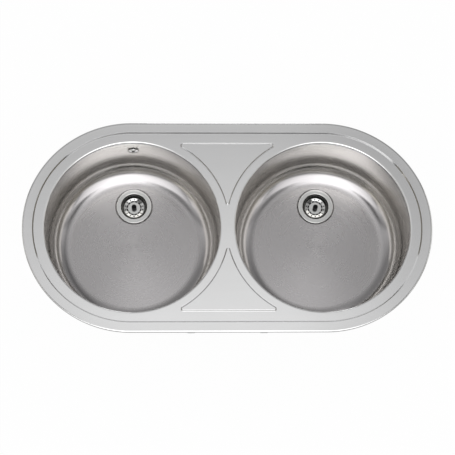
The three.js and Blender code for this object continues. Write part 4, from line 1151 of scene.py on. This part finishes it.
def build_studio():
    """A pale floor, a white surround, and the panels and cards that the steel mirrors."""
    scene = bpy.context.scene
    scene.view_settings.view_transform = "Standard"

    in_object_mode()
    bpy.ops.mesh.primitive_plane_add(size=14, location=(0, 0, (OUTLET_FOOT - 0.2) * MM))
    floor = bpy.context.object
    floor.name = "studio_floor"
    look, shader, principled, place = material("floor_paint", Base_Color=(0.86, 0.86, 0.86, 1), Roughness=0.9)
    rays = shader.add("LightPath")
    glow = shader.add("Emission", Color=(1, 1, 1, 1), Strength=1.0)
    mirrored = shader.math("MAXIMUM", rays.outputs["Is Glossy Ray"], rays.outputs["Is Transmission Ray"])
    seen = shader.times(rays.outputs["Is Camera Ray"], 0.97)
    seen = shader.math("MULTIPLY_ADD", mirrored, 0.6, seen)
    mixed = shader.add("MixShader", **{"0": seen, "1": principled.outputs[0], "2": glow.outputs[0]})
    shader.feed(look.node_tree.nodes["Material Output"], "Surface", mixed.outputs[0])
    floor.data.materials.append(look)

    world = bpy.data.worlds.new("studio")
    scene.world = world
    world.use_nodes = True
    air = Shader(world.node_tree)
    rays = air.add("LightPath")
    shown = air.math("MAXIMUM", rays.outputs["Is Camera Ray"], rays.outputs["Is Glossy Ray"])
    shown = air.math("MAXIMUM", shown, rays.outputs["Is Transmission Ray"])
    background = world.node_tree.nodes["Background"]
    air.feed(background, "Color", air.mix(shown, (0.8, 0.8, 0.8, 1), (1, 1, 1, 1)))
    air.feed(background, "Strength", 1.0)

    light = bpy.data.lights.new("key", "AREA")
    light.shape = "RECTANGLE"
    light.size = 1.8
    light.size_y = 1.1
    light.energy = 11
    lamp = bpy.data.objects.new("key", light)
    scene.collection.objects.link(lamp)
    lamp.location = (-0.35, -1.15, 2.35)
    lamp.rotation_euler = (-lamp.location).to_track_quat("-Z", "Y").to_euler()
    lamp.visible_glossy = False

    def card(name, place, width, height, tilt, turn, paint):
        """A sheet that only reflections show."""
        in_object_mode()
        bpy.ops.mesh.primitive_plane_add(size=1, location=place)
        sheet = bpy.context.object
        sheet.name = name
        sheet.scale = (width, height, 1)
        sheet.rotation_euler = (math.radians(tilt), 0, math.radians(turn))
        sheet.visible_camera = False
        sheet.visible_shadow = False
        sheet.visible_diffuse = False
        sheet.data.materials.append(paint)

    def painted(name, shade, strength=0.0):
        paint, _, _, _ = material(name, Base_Color=(*shade, 1), Roughness=1.0, Specular_IOR_Level=0.0)
        if strength:
            principled = paint.node_tree.nodes["Principled BSDF"]
            principled.inputs["Base Color"].default_value = (0, 0, 0, 1)
            principled.inputs["Emission Color"].default_value = (*shade, 1)
            principled.inputs["Emission Strength"].default_value = strength
        return paint

    card("front_card", (0, -3.4, 1.15), 2.8, 2.6, 90, 0, painted("front_paint", (0.1, 0.096, 0.086)))
    corner_paint = painted("corner_paint", (0.5, 0.48, 0.45))
    card("front_left_card", (-3.0, -3.4, 1.15), 3.2, 2.6, 90, 0, corner_paint)
    card("front_right_card", (3.0, -3.4, 1.15), 3.2, 2.6, 90, 0, corner_paint)
    card("right_card", (3.8, -0.4, 1.0), 6.5, 2.6, 90, 90, painted("right_paint", (0.34, 0.32, 0.28)))
    card("left_card", (-3.8, -0.4, 1.0), 6.5, 2.6, 90, 90, painted("left_paint", (0.36, 0.34, 0.30)))
    card("rear_card", (0.14, 3.3, 2.05), 0.7, 0.8, 90, 0, painted("rear_paint", (1.0, 1.0, 1.0), 5.0))
    card("right_strip", (3.5, 1.0, 1.3), 2.4, 0.7, 90, 90, painted("strip_paint", (1.0, 0.98, 0.94), 2.2))
    side_paint = painted("side_paint", (1.0, 0.97, 0.92), 1.6)
    card("right_band", (3.6, 0.3, 2.0), 3.8, 1.0, 90, 90, side_paint)
    card("left_band", (-3.6, 0.3, 2.0), 3.8, 1.0, 90, 90, side_paint)

    panel, shader, principled, place = material("softbox_paint", Base_Color=(0, 0, 0, 1), Roughness=1.0)
    parts = shader.parts(place)
    across = shader.math("ABSOLUTE", parts[0])
    aside = shader.spread(across, 0.05, 0.5, 3.4, 0.9)
    aside = shader.times(aside, shader.spread(across, 0.42, 0.5, 1.0, 0.0))
    foot = shader.spread(parts[1], -0.47, -0.2, 0.0, 1.0)
    shader.feed(principled, "Emission Color", (1, 1, 1, 1))
    shader.feed(principled, "Emission Strength", shader.times(aside, foot))
    card("softbox", (-0.05, -1.0, 1.08), 3.5, 1.4, 39.4, 0, panel)

    ceiling, shader, principled, place = material("ceiling_paint", Base_Color=(0, 0, 0, 1), Roughness=1.0)
    x, y, _ = shader.parts(place)
    size = 12.0

    def ramp(value, start, end, first, last):
        """A ramp between two places on the ceiling in metres."""
        return shader.spread(value, start / size, end / size, first, last)

    right = ramp(x, 0.35, 1.35, 0.93, 0.40)
    right = shader.math("ADD", right, ramp(x, 1.8, 2.6, 0.0, 0.35))
    fade = shader.times(right, ramp(x, -0.85, -0.25, 0.78, 1.0))
    inside = shader.times(ramp(x, -0.8, -0.5, 0.0, 1.0), ramp(x, 0.85, 1.1, 1.0, 0.0))
    near = ramp(shader.math("ABSOLUTE", x), 1.4, 1.9, 1.0, 0.7)
    near = shader.times(near, ramp(y, -0.95, -0.7, 0.5, 1.0))
    dimmed = shader.times(ramp(y, 0.12, 0.46, 1.0, 0.0), shader.spread(inside, 0.0, 1.0, 0.97, 0.0))
    dimmed = shader.times(dimmed, near)
    fade = shader.times(fade, shader.math("SUBTRACT", 1.0, dimmed))
    glow = ramp(y, 0.1, 1.73, 1.62, 0.6)
    glow = shader.math("ADD", glow, ramp(y, -0.3, 0.1, 2.2, 0.0))
    shader.feed(principled, "Emission Color", (1, 1, 1, 1))
    shader.feed(principled, "Emission Strength", shader.times(glow, fade))
    card("ceiling", (0, 0, 3.0), size, size, 0, 0, ceiling)


def build_camera():
    """The photograph's view: high above the front, a little to the left."""
    place = Vector((-0.1284, -0.9942, 3.4381))
    target = Vector((-0.0008, -0.0022, 0))
    camera = bpy.data.cameras.new("camera")
    camera.lens = 138.4
    camera.sensor_width = 36
    camera.clip_end = 50
    camera_object = bpy.data.objects.new("camera", camera)
    bpy.context.scene.collection.objects.link(camera_object)
    ahead = (target - place).normalized()
    right = (Vector((1, 0, 0)) - ahead * ahead.x).normalized()
    upwards = right.cross(ahead)
    rows = Matrix((right, upwards, -ahead)).transposed().to_4x4()
    camera_object.matrix_world = Matrix.Translation(place) @ rows
    bpy.context.scene.camera = camera_object


# ---- the whole sink

build_camera()
build_deck()
build_rim_seal()
for side, x in SIDES:
    has_overflow = side == "left"
    build_bowl(side, x, has_overflow)
    build_sound_pad(side, x)
    build_flange(side, x)
    build_basket(side, x)
    build_waste_body(side, x, has_overflow)
    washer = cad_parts[f"{side}_flange_gasket"]
    washer.data.materials.clear()
    washer.data.materials.append(BLACK_RUBBER)
build_rose()
build_overflow_housing()
build_hose()
upper = at(ROSE.x, middle("upper_hose_nut").y, low("upper_hose_nut").z)
build_hose_nut("upper_nut", "upper_hose_nut", upper)
lower = at(ROSE.x, low("lower_hose_nut").y, middle("lower_hose_nut").z) @ about("X", -90)
build_hose_nut("lower_nut", "lower_hose_nut", lower)
build_clamps()
build_studio()
